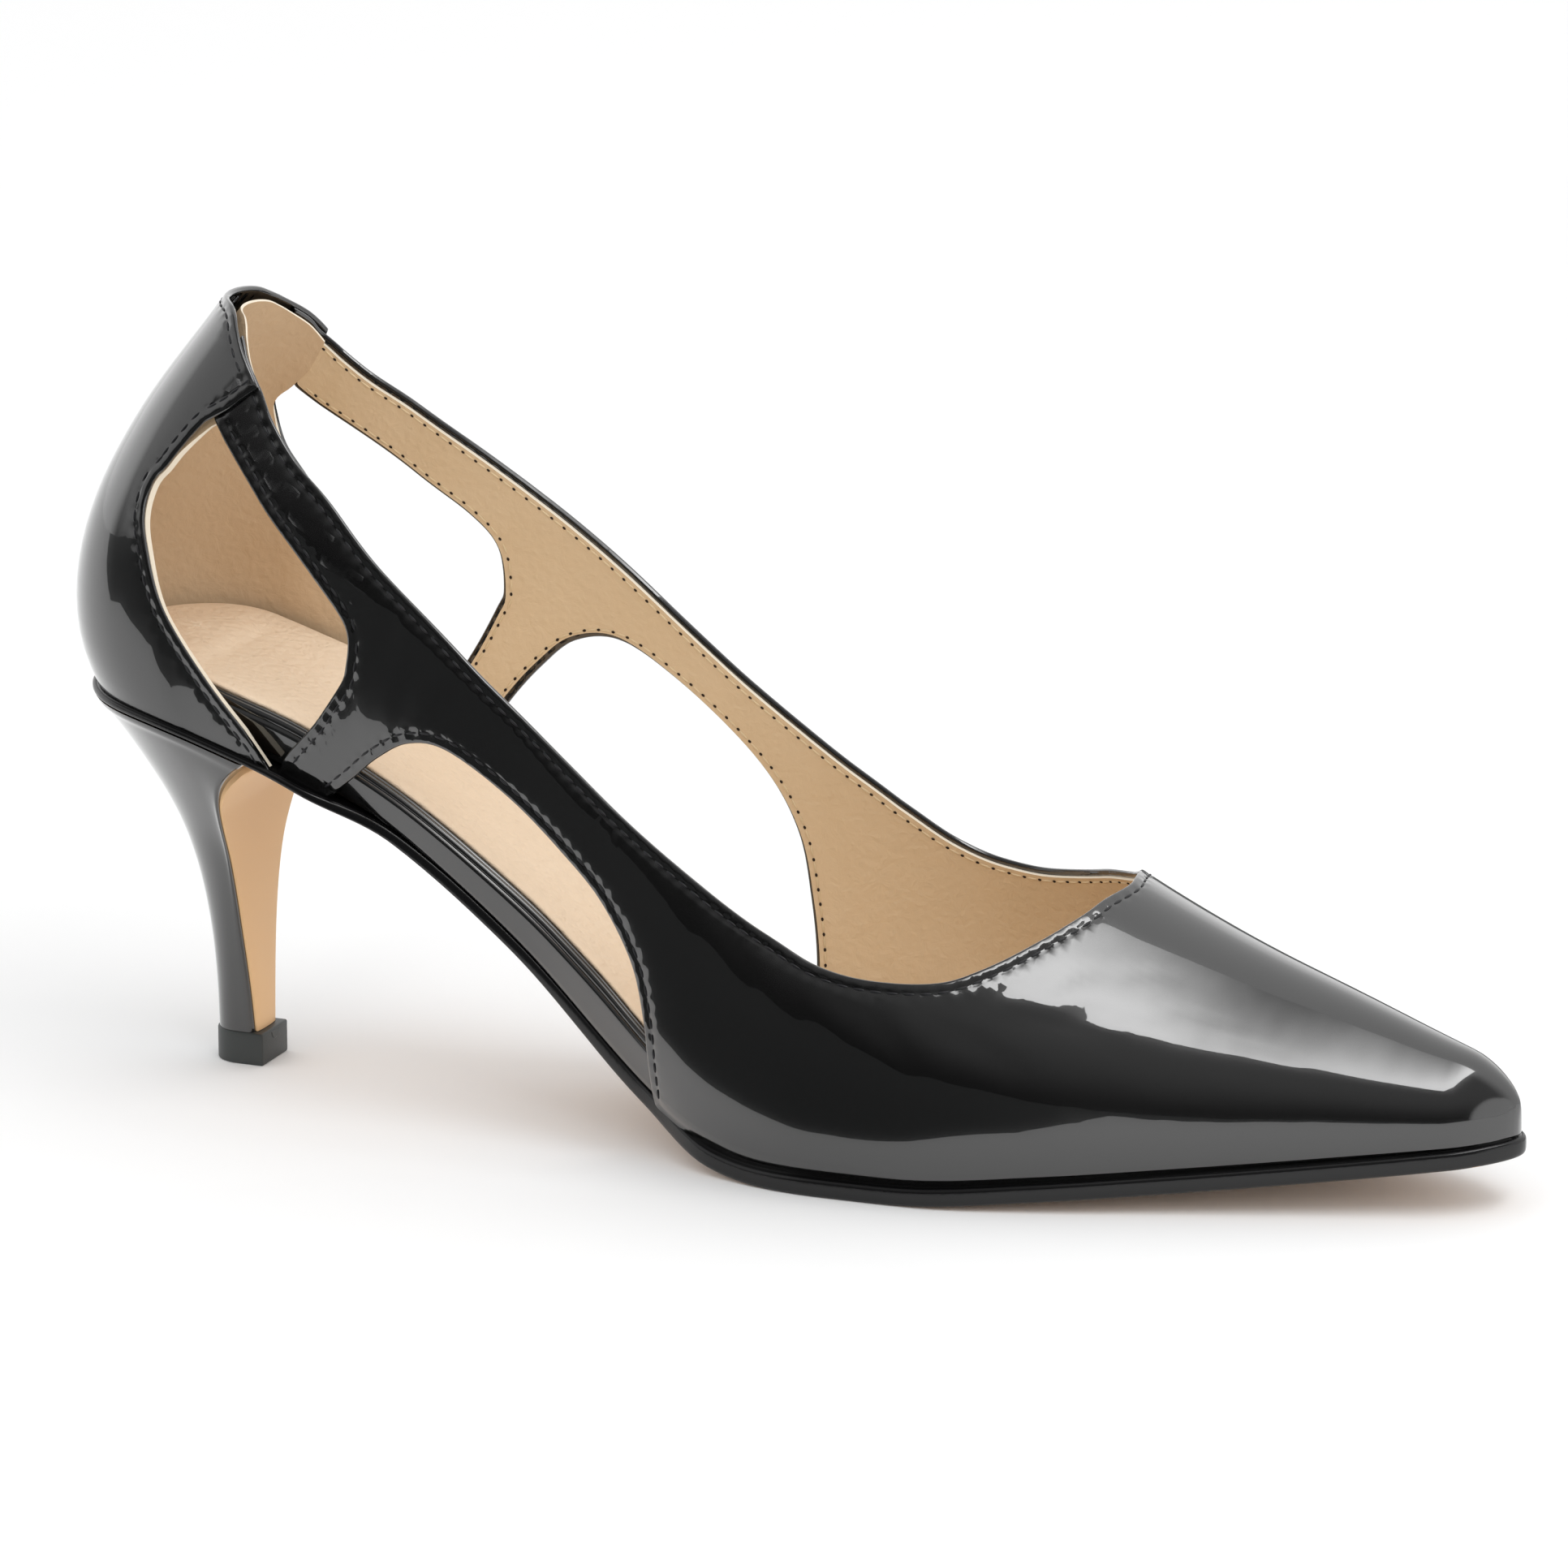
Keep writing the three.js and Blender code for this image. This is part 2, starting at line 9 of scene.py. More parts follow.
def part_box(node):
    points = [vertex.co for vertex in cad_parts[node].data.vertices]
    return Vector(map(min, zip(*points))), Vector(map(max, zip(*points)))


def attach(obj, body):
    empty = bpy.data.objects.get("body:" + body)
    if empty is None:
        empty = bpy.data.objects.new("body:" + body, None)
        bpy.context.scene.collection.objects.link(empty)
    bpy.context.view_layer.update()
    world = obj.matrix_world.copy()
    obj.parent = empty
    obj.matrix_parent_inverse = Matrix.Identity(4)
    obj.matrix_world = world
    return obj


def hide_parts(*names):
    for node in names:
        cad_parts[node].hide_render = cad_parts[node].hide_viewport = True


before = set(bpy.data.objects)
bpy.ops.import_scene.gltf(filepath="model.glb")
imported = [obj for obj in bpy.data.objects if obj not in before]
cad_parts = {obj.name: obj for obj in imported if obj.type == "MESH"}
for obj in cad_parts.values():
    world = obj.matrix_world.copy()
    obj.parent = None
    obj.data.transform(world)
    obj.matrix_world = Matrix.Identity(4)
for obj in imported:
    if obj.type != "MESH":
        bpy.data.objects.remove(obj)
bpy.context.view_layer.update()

# A pointed cut-out pump in black patent leather, for the right foot. Sizes are in millimetres on
# the last: x from the back of the heel to the toe, y towards the big-toe side, z up.
MM = 0.001

LAST_LENGTH = 251.6
BALL_WIDTH = 71
RIDGE_HEIGHT = 84
HEEL_RISE = 62.7
TOE_SPRING = 8.8
HEEL_ROUND = 25
TOE_ROUND = 9
TOE_BLUNTNESS = 0.42

UPPER_WALL = 1.4
COUNTER_WALL = 1.0
PATENT = 0.9
LINING = 0.42
LINING_INSET = 0.8
LINING_GAP = 0.02
TUCK = 0.55
TUCK_HEIGHT = 2.2
BELOW_FEATHER = 0.45

# The lining round the heel starts against the patent at the counter's front edge and settles
# deeper inside, behind the wall that the straps lie on
HEEL_LINING_START = 1.02
HEEL_LINING_SETTLES = 1.65
HEEL_LINING_WALL = 0.36
HEEL_LINING_EDGE_WALL = 0.75
HEEL_LINING_SPAN = 7
STRAP_END_HEIGHT = 30

SOLE = 3
SHANK = 2.1
SEAT = 1.1
SOLE_EDGE = 0.8
WAIST_DRAWN_IN = 3.1
INSOLE = 7
INSOLE_TOE_ROOM = 6
INSOLE_STANDS_OUT = 0.9
SOCK = 0.9
SOCK_MARGIN = 1.2

TIP_LENGTH = 7.8
TIP_HALF = 4.7
TIP_BACK = 24.8
SEAT_LENGTH = 37
FLAP = 1.3
FLAP_MARGIN = 1.2
FLAP_TOP = 0.955
FLAP_CORNER = 8.5
TOP_PIECE = 5.3
TIP_EASING = 0.35
NOTCH_RADIUS = 1.5
OVERHANG = 0.3
GAP = 0.3
TIP_FRONT = TIP_BACK + TIP_LENGTH + GAP + FLAP + OVERHANG
HEEL_LIP = 0.35
HEEL_MIDDLE = 22

STITCH_PITCH = 2.6
STITCH_LENGTH = 1.95
STITCH_IN = 1.75
FIRST_STITCH = 1.6
LAST_STITCH = 1.4
STITCH_RADIUS = 0.22
STITCH_SUNK = 0.1
LINING_STITCH_RADIUS = 0.2
# Sizes of the dark dots painted as the shade inside the needle holes
HOLE_SHADE_RADII = (0.34, 0.26, 0.16)
GROOVE_DEPTH = 0.13
GROOVE_WIDTH = 0.45

# How finely the leather is cut. The rings that follow a sheet's edges would cross in its corners,
# so no short edge is there. Distances along one edge and the next are counted APART.
OUTLINE_STEP = 0.65
EDGE_STEP = 0.6
APART = 50
CORNER_ROOM = 5.5
PATENT_RINGS = [0.09, 0.13, 0.25, 0.6, 0.38, 0.38, 0.5]
LINING_RINGS = [0.6, 0.6]
WELD = 2e-6

# The last's own curves, with lengths along it as shares of LAST_LENGTH
FEATHER = {
    "along": [0, 0.08, 0.13, 0.165, 0.2, 0.24, 0.28, 0.34, 0.39, 0.44, 0.475, 0.505, 0.545, 1],
    "rise": [1, 0.968, 0.912, 0.87, 0.815, 0.742, 0.64, 0.452, 0.285, 0.135, 0.06, 0.018, 0, 0],
}
SPRING = {
    "along": [0, 0.62, 0.72, 0.86, 1],
    "lift": [0, 0, 0.2, 0.56, 1],
}
RIDGE = {
    "along": [0, 0.12, 0.24, 0.36, 0.48, 0.6, 0.75, 0.82, 0.885, 0.95, 1],
    "height": [1, 1.03, 0.99, 1.01, 0.983, 0.77, 0.478, 0.367, 0.277, 0.185, 0.12],
}
SECTIONS = {
    "along": [0, 0.096, 0.18, 0.26, 0.34, 0.42, 0.5, 0.58, 0.64, 0.72, 0.8, 0.88, 0.96, 1],
    "outer": [
        0.338, 0.324, 0.331, 0.303, 0.289, 0.345, 0.444, 0.5, 0.5, 0.444, 0.345, 0.242, 0.138, 0.078,
    ],
    "inner": [
        0.338, 0.324, 0.317, 0.275, 0.254, 0.296, 0.394, 0.486, 0.514, 0.479, 0.387, 0.275, 0.155, 0.078,
    ],
    "swing": [0, 0, 0, 0, 0, 0, 0, 0.008, 0.014, 0.024, 0.028, 0.028, 0.028, 0.028],
    "bulge": [0.08, 0.1, 0.18, 0.34, 0.45, 0.36, 0.2, 0.15, 0.13, 0.11, 0.1, 0.1, 0.1, 0.1],
    "arch": [2, 2, 2, 2, 2, 2, 2, 1.92, 1.88, 1.82, 1.8, 1.87, 1.95, 2],
}
BACK_CURVE = {
    "up": [0, 0.06, 0.12, 0.167, 0.238, 0.357, 0.536, 0.786, 1.07],
    "setback": [0.067, 0.038, 0.026, 0.024, 0.031, 0.066, 0.162, 0.35, 0.548],
}
UNDER_COUNTER = {"along": [0, 0.19, 0.3, 1], "share": [1, 1, 0, 0]}
INSOLE_DEPTH = {
    "along": [0, 0.18, 0.25, 0.3, 0.36, 0.42, 0.5, 0.62, 0.85, 1],
    "share": [1.05, 1.05, 0.84, 0.84, 0.95, 1.1, 1, 0.65, 0.38, 0.3],
}
SOLE_DEPTH = {"along": [0, 0.16, 0.22, 0.3, 0.42, 1], "share": [0, 0, 0.6, 1, 1, 1]}
HEEL_SHAPE = {
    "up": [0, 0.15, 0.35, 0.5, 0.62, 0.72, 0.82, 0.92, 1],
    "back": [0, 0.01, 0.07, 0.17, 0.3, 0.45, 0.64, 0.84, 1],
    "front": [0, -0.04, -0.1, -0.12, -0.11, -0.06, 0.05, 0.35, 1],
    "side": [0, 0.05, 0.15, 0.25, 0.37, 0.53, 0.7, 0.87, 1],
}

# The pattern's edges as (along, up): up is 0 at the feather line and 1 at the ridge
OUTER_TOPLINE = [
    (0.056, 0.744), (0.078, 0.709), (0.104, 0.674), (0.127, 0.635), (0.159, 0.598), (0.195, 0.578),
    (0.245, 0.533), (0.302, 0.517), (0.344, 0.514), (0.415, 0.532), (0.487, 0.541), (0.545, 0.531),
    (0.581, 0.517), (0.615, 0.535), (0.654, 0.591), (0.677, 0.659), (0.698, 0.749), (0.717, 0.852),
    (0.73, 0.941), (0.739, 1),
]
INNER_TOPLINE = [
    (0.04, 0.726), (0.06, 0.701), (0.08, 0.672), (0.126, 0.638), (0.171, 0.63), (0.214, 0.631),
    (0.256, 0.628), (0.295, 0.632), (0.372, 0.655), (0.443, 0.648), (0.51, 0.618), (0.541, 0.586),
    (0.571, 0.55), (0.603, 0.547), (0.639, 0.591), (0.68, 0.704), (0.719, 0.859), (0.739, 1),
]
OUTER_STRAP_UNDER = [
    (0.062, 0.632), (0.079, 0.6), (0.085, 0.589), (0.111, 0.549), (0.135, 0.513), (0.156, 0.483),
    (0.193, 0.442), (0.222, 0.402), (0.231, 0.37), (0.232, 0.314), (0.229, 0.271), (0.213, 0.172),
    (0.199, 0.107), (0.185, 0.052), (0.173, 0.005),
]
INNER_STRAP_UNDER = [
    (0.052, 0.6), (0.069, 0.572), (0.075, 0.556), (0.098, 0.536), (0.143, 0.514), (0.187, 0.498),
    (0.226, 0.487), (0.249, 0.459), (0.257, 0.385), (0.254, 0.34), (0.242, 0.232), (0.225, 0.12),
    (0.205, 0.03), (0.2, 0),
]
OUTER_VAMP_FRONT = [
    (0.208, 0), (0.215, 0.016), (0.235, 0.085), (0.257, 0.176), (0.28, 0.26), (0.308, 0.317),
    (0.354, 0.346), (0.391, 0.354), (0.423, 0.344), (0.447, 0.283), (0.455, 0.188), (0.455, 0.092),
    (0.454, 0),
]
INNER_VAMP_FRONT = [
    (0.246, 0), (0.256, 0.09), (0.267, 0.165), (0.288, 0.29), (0.31, 0.399), (0.342, 0.484),
    (0.382, 0.515), (0.422, 0.507), (0.449, 0.466), (0.466, 0.388), (0.474, 0.275), (0.479, 0.168),
    (0.481, 0.06), (0.481, 0),
]
OUTER_COUNTER_TOP = [
    (0, 0.782), (0.018, 0.785), (0.036, 0.774), (0.056, 0.744), (0.078, 0.709), (0.105, 0.671),
]
INNER_COUNTER_TOP = [
    (0, 0.782), (0.008, 0.772), (0.021, 0.753), (0.04, 0.726), (0.06, 0.701), (0.08, 0.672),
]
OUTER_COUNTER_TAB = [(0.105, 0.671), (0.094, 0.623), (0.084, 0.592), (0.079, 0.576)]
INNER_COUNTER_TAB = [(0.08, 0.672), (0.083, 0.655), (0.08, 0.615), (0.071, 0.56)]
OUTER_COUNTER_FRONT = [
    (0.079, 0.576), (0.072, 0.52), (0.068, 0.482), (0.063, 0.448), (0.067, 0.388), (0.08, 0.322),
    (0.1, 0.226), (0.13, 0.132), (0.158, 0.049), (0.168, 0),
]
INNER_COUNTER_FRONT = [
    (0.071, 0.56), (0.066, 0.54), (0.064, 0.52), (0.069, 0.49), (0.085, 0.424), (0.108, 0.372),
    (0.124, 0.33), (0.143, 0.22), (0.166, 0.1), (0.182, 0),
]


def tangents(xs, ys):
    """The slope at each row of a table, level at its peaks."""
    step = np.diff(xs)
    slope = np.diff(ys) / step
    inside = (slope[:-1] * step[1:] + slope[1:] * step[:-1]) / (step[:-1] + step[1:])
    inside[slope[:-1] * slope[1:] <= 0] = 0
    return np.concatenate([slope[:1], inside, slope[-1:]])


def cubic(t, start, stop, leaving, arriving):
    """From start to stop as t goes from 0 to 1, with the slope it has at each end."""
    y = (2 * t**3 - 3 * t**2 + 1) * start + (t**3 - 2 * t**2 + t) * leaving
    return y + (3 * t**2 - 2 * t**3) * stop + (t**3 - t**2) * arriving


def eased(t):
    """t held between 0 and 1, with its two corners smoothed away."""
    t = np.clip(t, 0, 1)
    return t * t * (3 - 2 * t)


def faired(table, spread=0.011, samples=1601):
    """A table's columns as fine smooth curves, so that patent leather mirrors without kinks."""
    key, *names = table
    xs = np.array(table[key], float)
    fine = np.linspace(xs[0], xs[-1], samples)
    row = np.clip(np.searchsorted(xs, fine, side="right") - 1, 0, len(xs) - 2)
    h = xs[row + 1] - xs[row]
    t = (fine - xs[row]) / h
    reach = int(3 * spread / (fine[1] - fine[0]))
    weights = np.exp(-0.5 * (np.arange(-reach, reach + 1) * 3 / reach) ** 2)
    columns = {}
    for name in names:
        ys = np.array(table[name], float)
        m = tangents(xs, ys)
        y = cubic(t, ys[row], ys[row + 1], h * m[row], h * m[row + 1])
        padded = np.pad(y, reach, mode="reflect", reflect_type="odd")
        columns[name] = (fine, np.convolve(padded, weights / weights.sum(), mode="valid"))
    return columns


feather = faired(FEATHER)
spring = faired(SPRING)
ridge = faired(RIDGE)
sections = faired(SECTIONS)
back_curve = faired(BACK_CURVE, 0.03)
under_counter = faired(UNDER_COUNTER)
insole_depth = faired(INSOLE_DEPTH)
sole_depth = faired(SOLE_DEPTH)
heel_shape = faired(HEEL_SHAPE, 0.03)


def read(columns, name, at):
    return np.interp(at, *columns[name])


def feather_height(along):
    rise = HEEL_RISE * read(feather, "rise", along)
    return SOLE + GAP + rise + TOE_SPRING * read(spring, "lift", along)


def steepness(along):
    """How much longer a vertical thickness is than the real one, on the slope of the shank."""
    step = 0.004
    fall = feather_height(along + step) - feather_height(along - step)
    return np.hypot(1, fall / (2 * step * LAST_LENGTH))


def ends(along, length=LAST_LENGTH):
    x = along * LAST_LENGTH
    heel = np.clip(1 - x / HEEL_ROUND, 0, 1)
    toe = np.clip(1 - (length - x) / TOE_ROUND, 0, 1)
    tipped = np.sqrt(1 - toe**2)
    return heel, toe, tipped, np.sqrt(1 - heel**2) * tipped


def lean(along, height):
    settled = np.clip(1 - along / 0.6, 0, 1) ** 2
    return RIDGE_HEIGHT * read(back_curve, "setback", height / RIDGE_HEIGHT) * settled


def on_last(along, up, inner, offset):
    """Points on the last, moved out by offset. All four are arrays."""
    heel, toe, tipped, width = ends(along)
    half = np.where(inner, read(sections, "inner", along), read(sections, "outer", along))
    half = BALL_WIDTH * half + offset
    bulge = read(sections, "bulge", along)
    arch = read(sections, "arch", along)
    height = RIDGE_HEIGHT * read(ridge, "height", along)
    height = height * (TOE_BLUNTNESS + (1 - TOE_BLUNTNESS) * tipped)
    crown = (1 - np.clip(up, 0, 1) ** arch) ** (1 / arch)
    reach = crown + bulge * 4 * np.clip(up, 0, 1) * (1 - up)
    x = along * LAST_LENGTH + lean(along, height * up) + offset * (toe - heel)
    swing = BALL_WIDTH * read(sections, "swing", along)
    y = swing + np.where(inner, 1, -1) * half * width * reach
    return np.stack([x, y, feather_height(along) + (height + offset) * up], axis=-1)


def stand_back(along):
    return (COUNTER_WALL + GAP) * read(under_counter, "share", along)


# The CAD part is centred, so the heel tip's back shows where the last lies in the frame
tip_low, tip_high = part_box("top_piece")
MIDDLE = np.array([TIP_BACK - OVERHANG - tip_low.x / MM, -(tip_low.y + tip_high.y) / 2 / MM, 0])


def in_frame(points):
    return (np.asarray(points) - MIDDLE) * MM


# Patent and lining are cut from flat sheets. A sheet's x is the length along the last, and its
# height gives each side of the last, from feather line to ridge, this many millimetres.
SIDE = 90


def sheet_height(up):
    return np.arcsin(np.clip(up, 0, 1)) * 2 / math.pi * SIDE


def spline(points, per_span=7):
    """A smooth line through points, as a list of (x, y)."""
    points = np.array(points, float)
    padded = np.concatenate([points[:1], points, points[-1:]])
    t = np.linspace(0, 1, per_span + 1)[:-1, None]
    line = []
    for a, b, c, d in zip(padded, padded[1:], padded[2:], padded[3:]):
        line.extend(cubic(t, b, c, (c - a) / 2, (d - b) / 2))
    line.append(points[-1])
    return [tuple(p) for p in line]


class ForePart:
    """The vamp and straps: outer side below SIDE, the ridge at SIDE and the inner side above."""

    def drawn(self, rows, inner):
        flat = []
        for along, up in rows:
            height = float(sheet_height(up))
            flat.append((along * LAST_LENGTH, 2 * SIDE - height if inner else height))
        return flat

    def place(self, x, y, offset):
        inner = y > SIDE
        height = np.where(inner, 2 * SIDE - y, y)
        along = np.clip(x / LAST_LENGTH, 0, 1)
        up = np.sin(np.clip(height / SIDE, 0, 1) * math.pi / 2)
        tucked = TUCK * np.clip(1 - height / TUCK_HEIGHT, 0, 1) ** 2
        points = on_last(along, up, inner, offset - stand_back(along) - tucked)
        points[..., 2] += np.minimum(height, 0)
        return points


class BackPart:
    """The counter: x is the distance round the back of the heel, below 0 on the outer side."""

    def drawn(self, rows, inner):
        flat = []
        for along, up in rows:
            x = along * LAST_LENGTH
            quarter = HEEL_ROUND * math.pi / 2
            if x < HEEL_ROUND:
                distance = HEEL_ROUND * math.acos(1 - x / HEEL_ROUND)
            else:
                distance = quarter + x - HEEL_ROUND
            flat.append((distance if inner else -distance, float(sheet_height(up))))
        return flat

    def place(self, x, y, offset):
        distance = np.abs(x)
        quarter = HEEL_ROUND * math.pi / 2
        turned = HEEL_ROUND * (1 - np.cos(np.minimum(distance, quarter) / HEEL_ROUND))
        along = (turned + np.maximum(distance - quarter, 0)) / LAST_LENGTH
        up = np.sin(np.clip(y / SIDE, 0, 1) * math.pi / 2)
        points = on_last(along, up, x > 0, offset)
        points[..., 2] += np.minimum(y, 0)
        return points


FORE, BACK = ForePart(), BackPart()


def vamp_lines():
    """The vamp's outline in order: a list of (points, is it a stitched edge)."""
    toe = LAST_LENGTH
    outer_under = spline(FORE.drawn(OUTER_STRAP_UNDER, False))[::-1]
    outer_front = spline(FORE.drawn(OUTER_VAMP_FRONT, False))[::-1]
    inner_under = spline(FORE.drawn(INNER_STRAP_UNDER, True))
    inner_front = spline(FORE.drawn(INNER_VAMP_FRONT, True))
    over = FORE.drawn(OUTER_TOPLINE, False) + FORE.drawn(INNER_TOPLINE, True)[-2::-1]
    low, high = -BELOW_FEATHER, 2 * SIDE + BELOW_FEATHER
    return [
        ([(toe, low)], False),
        ([(outer_front[0][0], low)] + outer_front + [(outer_front[-1][0], low)], True),
        ([(outer_under[0][0] - 0.3, low)] + outer_under, True),
        (spline(over), True),
        (inner_under + [(inner_under[-1][0], high)], True),
        ([(inner_front[0][0], high)] + inner_front + [(inner_front[-1][0], high)], True),
        ([(toe, high)], False),
    ]


def counter_lines():
    """The counter's outline in order, from its outer front round the back to its inner front."""
    top = BACK.drawn(OUTER_COUNTER_TOP, False)[::-1] + BACK.drawn(INNER_COUNTER_TOP, True)[1:]
    outer_front = spline(BACK.drawn(OUTER_COUNTER_TAB + OUTER_COUNTER_FRONT[1:], False))[::-1]
    inner_front = spline(BACK.drawn(INNER_COUNTER_TAB + INNER_COUNTER_FRONT[1:], True))
    return [
        ([(outer_front[0][0], -BELOW_FEATHER)] + outer_front, True),
        (spline(top), True),
        (inner_front + [(inner_front[-1][0], -BELOW_FEATHER)], True),
    ]


def even(points, step):
    """The same line with points a step apart."""
    points = np.array(points, float)
    run = np.concatenate([[0], np.cumsum(np.hypot(*np.diff(points, axis=0).T))])
    count = max(int(run[-1] / step), 1)
    at = np.linspace(0, run[-1], count + 1)
    return np.stack([np.interp(at, run, points[:, k]) for k in (0, 1)], axis=1)


class Edges:
    """The stitched edges of a sheet, to measure how far a place is from them, and how far along."""

    def __init__(self, part, lines, base):
        self.part, self.base, self.lines = part, base, []
        starts, stops, runs = [], [], []
        total = 0
        for points, stitched in lines:
            if not stitched:
                continue
            flat = even(points, EDGE_STEP)
            space = part.place(flat[:, 0], flat[:, 1], np.full(len(flat), base))
            lengths = np.linalg.norm(np.diff(space, axis=0), axis=1)
            run = total + np.concatenate([[0], np.cumsum(lengths)])
            total = run[-1] + APART
            starts.append(space[:-1])
            stops.append(space[1:])
            runs.append(np.stack([run[:-1], run[1:]], axis=1))
            self.lines.append((flat, space, run))
        self.a, self.b, self.r = (np.concatenate(rows) for rows in (starts, stops, runs))
        self.tree = kdtree.KDTree(len(self.a))
        for i, middle in enumerate((self.a + self.b) / 2):
            self.tree.insert(middle, i)
        self.tree.balance()

    def measure(self, points):
        """The distance to the nearest edge and the run along it, for each point."""
        near = np.array([self.tree.find(p)[1] for p in points])
        best = np.full(len(points), np.inf)
        run = np.zeros(len(points))
        for shift in (-1, 0, 1):
            k = np.clip(near + shift, 0, len(self.a) - 1)
            a, b, r = self.a[k], self.b[k], self.r[k]
            span = b - a
            t = ((points - a) * span).sum(1) / np.maximum((span**2).sum(1), 1e-9)
            t = np.clip(t, 0, 1)
            distance = np.linalg.norm(points - a - span * t[:, None], axis=1)
            closer = distance < best
            best = np.where(closer, distance, best)
            run = np.where(closer, r[:, 0] + (r[:, 1] - r[:, 0]) * t, run)
        return best, run

    def rows(self, inward):
        """Lines that follow the edges at a distance inside them: (flat points, run) for each."""
        found = []
        for flat, space, run in self.lines:
            tangent = np.gradient(flat, axis=0)
            normal = np.stack([tangent[:, 1], -tangent[:, 0]], axis=1)
            normal /= np.linalg.norm(normal, axis=1)[:, None]
            step = 0.5
            moved = flat + normal * step
            reach = self.part.place(moved[:, 0], moved[:, 1], np.full(len(flat), self.base))
            along = np.gradient(space, axis=0)
            along /= np.linalg.norm(along, axis=1)[:, None]
            out = reach - space
            out -= along * (out * along).sum(1)[:, None]
            stretch = np.linalg.norm(out, axis=1) / step
            found.append((flat + normal * (inward / stretch)[:, None], run))
        return found


def verts_of(made):
    """The vertices that an operator made."""
    return [v for v in made["geom"] if isinstance(v, bmesh.types.BMVert)]


def cut_sheet(lines, across, up, inset, rings):
    """A flat sheet as a bmesh: its outline filled, ringed near the edge and cut into cells."""
    bm = bmesh.new()
    outline = []
    for points, stitched in lines:
        if stitched:
            line = even(points, OUTLINE_STEP)
            span = int(CORNER_ROOM / OUTLINE_STEP)
            outline.extend([line[0], *line[span:-span], line[-1]])
        else:
            outline.extend(points)
    kept = []
    for point in outline:
        if not kept or math.dist(point, kept[-1]) > 0.05:
            kept.append(tuple(point))
    bm.faces.new([bm.verts.new((x, y, 0)) for x, y in kept])
    bm.normal_update()
    even_ring = {"use_boundary": True, "use_even_offset": True}
    if inset:
        ring = bmesh.ops.inset_region(bm, faces=bm.faces[:], thickness=inset, **even_ring)
        bmesh.ops.delete(bm, geom=ring["faces"], context="FACES")
    for width in rings:
        middle = [max(bm.faces, key=lambda face: len(face.verts))]
        bmesh.ops.inset_region(bm, faces=middle, thickness=width, **even_ring)
    for normal, places in (((1, 0, 0), across), ((0, 1, 0), up)):
        for place in places:
            everything = bm.verts[:] + bm.edges[:] + bm.faces[:]
            co = (place, 0, 0) if normal[0] else (0, place, 0)
            bmesh.ops.bisect_plane(bm, geom=everything, dist=1e-4, plane_co=co, plane_no=normal)
    many = [face for face in bm.faces if len(face.verts) > 4]
    bmesh.ops.triangulate(bm, faces=many)
    return bm


def shown_object(bm, name, *materials):
    """The bmesh as an object in the scene, at the origin."""
    mesh = bpy.data.meshes.new(name)
    bm.to_mesh(mesh)
    bm.free()
    for material in materials:
        mesh.materials.append(material)
    shown = bpy.data.objects.new(name, mesh)
    bpy.context.scene.collection.objects.link(shown)
    return shown


def piece(bm, name, slot, *materials, stands_for=(), sharp):
    """Finishes a bmesh, in the part's frame, as a piece of the shoe. Edges that turn by more than
    sharp degrees stay crisp."""
    shown = shown_object(bm, name, *materials)
    shown.data.shade_smooth()
    shown.data.set_sharp_from_angle(angle=math.radians(sharp))
    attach(shown, "root")
    if stands_for:
        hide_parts(*stands_for)
    return shown


def bullnose(distance, radius):
    """How far a rolled edge falls away at a distance in from it."""
    short = np.clip(radius - distance, 0, radius)
    return radius - np.sqrt(radius**2 - short**2)


def leather(part, lines, edges, *, across, up, inset=0.0, rings, shape, raw=False):
    """A sheet bent over the last. shape(back, distance, flat) gives each place's offset, where back
    is true on the sheet's inner face. A raw sheet's cut edge has the second material."""
    bm = cut_sheet(lines, across, up, inset, rings)
    grown = bmesh.ops.extrude_face_region(bm, geom=bm.faces[:], use_keep_orig=True)
    for vert in verts_of(grown):
        vert.co.z = -1
    bm.verts.ensure_lookup_table()
    flat = np.array([v.co for v in bm.verts])
    x, y = flat[:, 0], flat[:, 1]
    distance, run = edges.measure(part.place(x, y, np.full(len(flat), edges.base)))
    space = in_frame(part.place(x, y, shape(flat[:, 2] < -0.5, distance, flat)))
    rims = [face for face in bm.faces if len({round(v.co.z) for v in face.verts}) == 2]
    if raw:
        for face in rims:
            face.material_index = 1
    # At the toe's tip the two sides of the sheet meet, and their rims would face each other
    toe_end = LAST_LENGTH - 1e-3
    meeting = [face for face in rims if all(v.co.x > toe_end for v in face.verts)]
    edge_layer = bm.verts.layers.float.new("from_edge")
    run_layer = bm.verts.layers.float.new("along_edge")
    for vert, at, from_edge, along_edge in zip(bm.verts, space, distance, run):
        vert.co = at
        vert[edge_layer] = from_edge
        vert[run_layer] = along_edge
    bmesh.ops.delete(bm, geom=meeting, context="FACES")
    bmesh.ops.remove_doubles(bm, verts=bm.verts[:], dist=WELD)
    bmesh.ops.recalc_face_normals(bm, faces=bm.faces[:])
    return bm


def stations(start, stop, step):
    """Even places between start and stop, without the two."""
    count = max(int(round((stop - start) / step)), 1)
    return list(np.linspace(start, stop, count + 1)[1:-1])


def linear(colour):
    """An sRGB hex colour as linear RGBA."""
    parts = [int(colour[i : i + 2], 16) / 255 for i in (1, 3, 5)]
    return [c / 12.92 if c <= 0.04045 else ((c + 0.055) / 1.055) ** 2.4 for c in parts] + [1]


def node(tree, kind, links=None, values=None, **settings):
    """Adds a node. links joins its inputs to outputs, values sets its other inputs."""
    made = tree.nodes.new(kind)
    for name, value in settings.items():
        setattr(made, name, value)
    for name, value in (values or {}).items():
        made.inputs[name].default_value = value
    for name, output in (links or {}).items():
        tree.links.new(output, made.inputs[name])
    return made


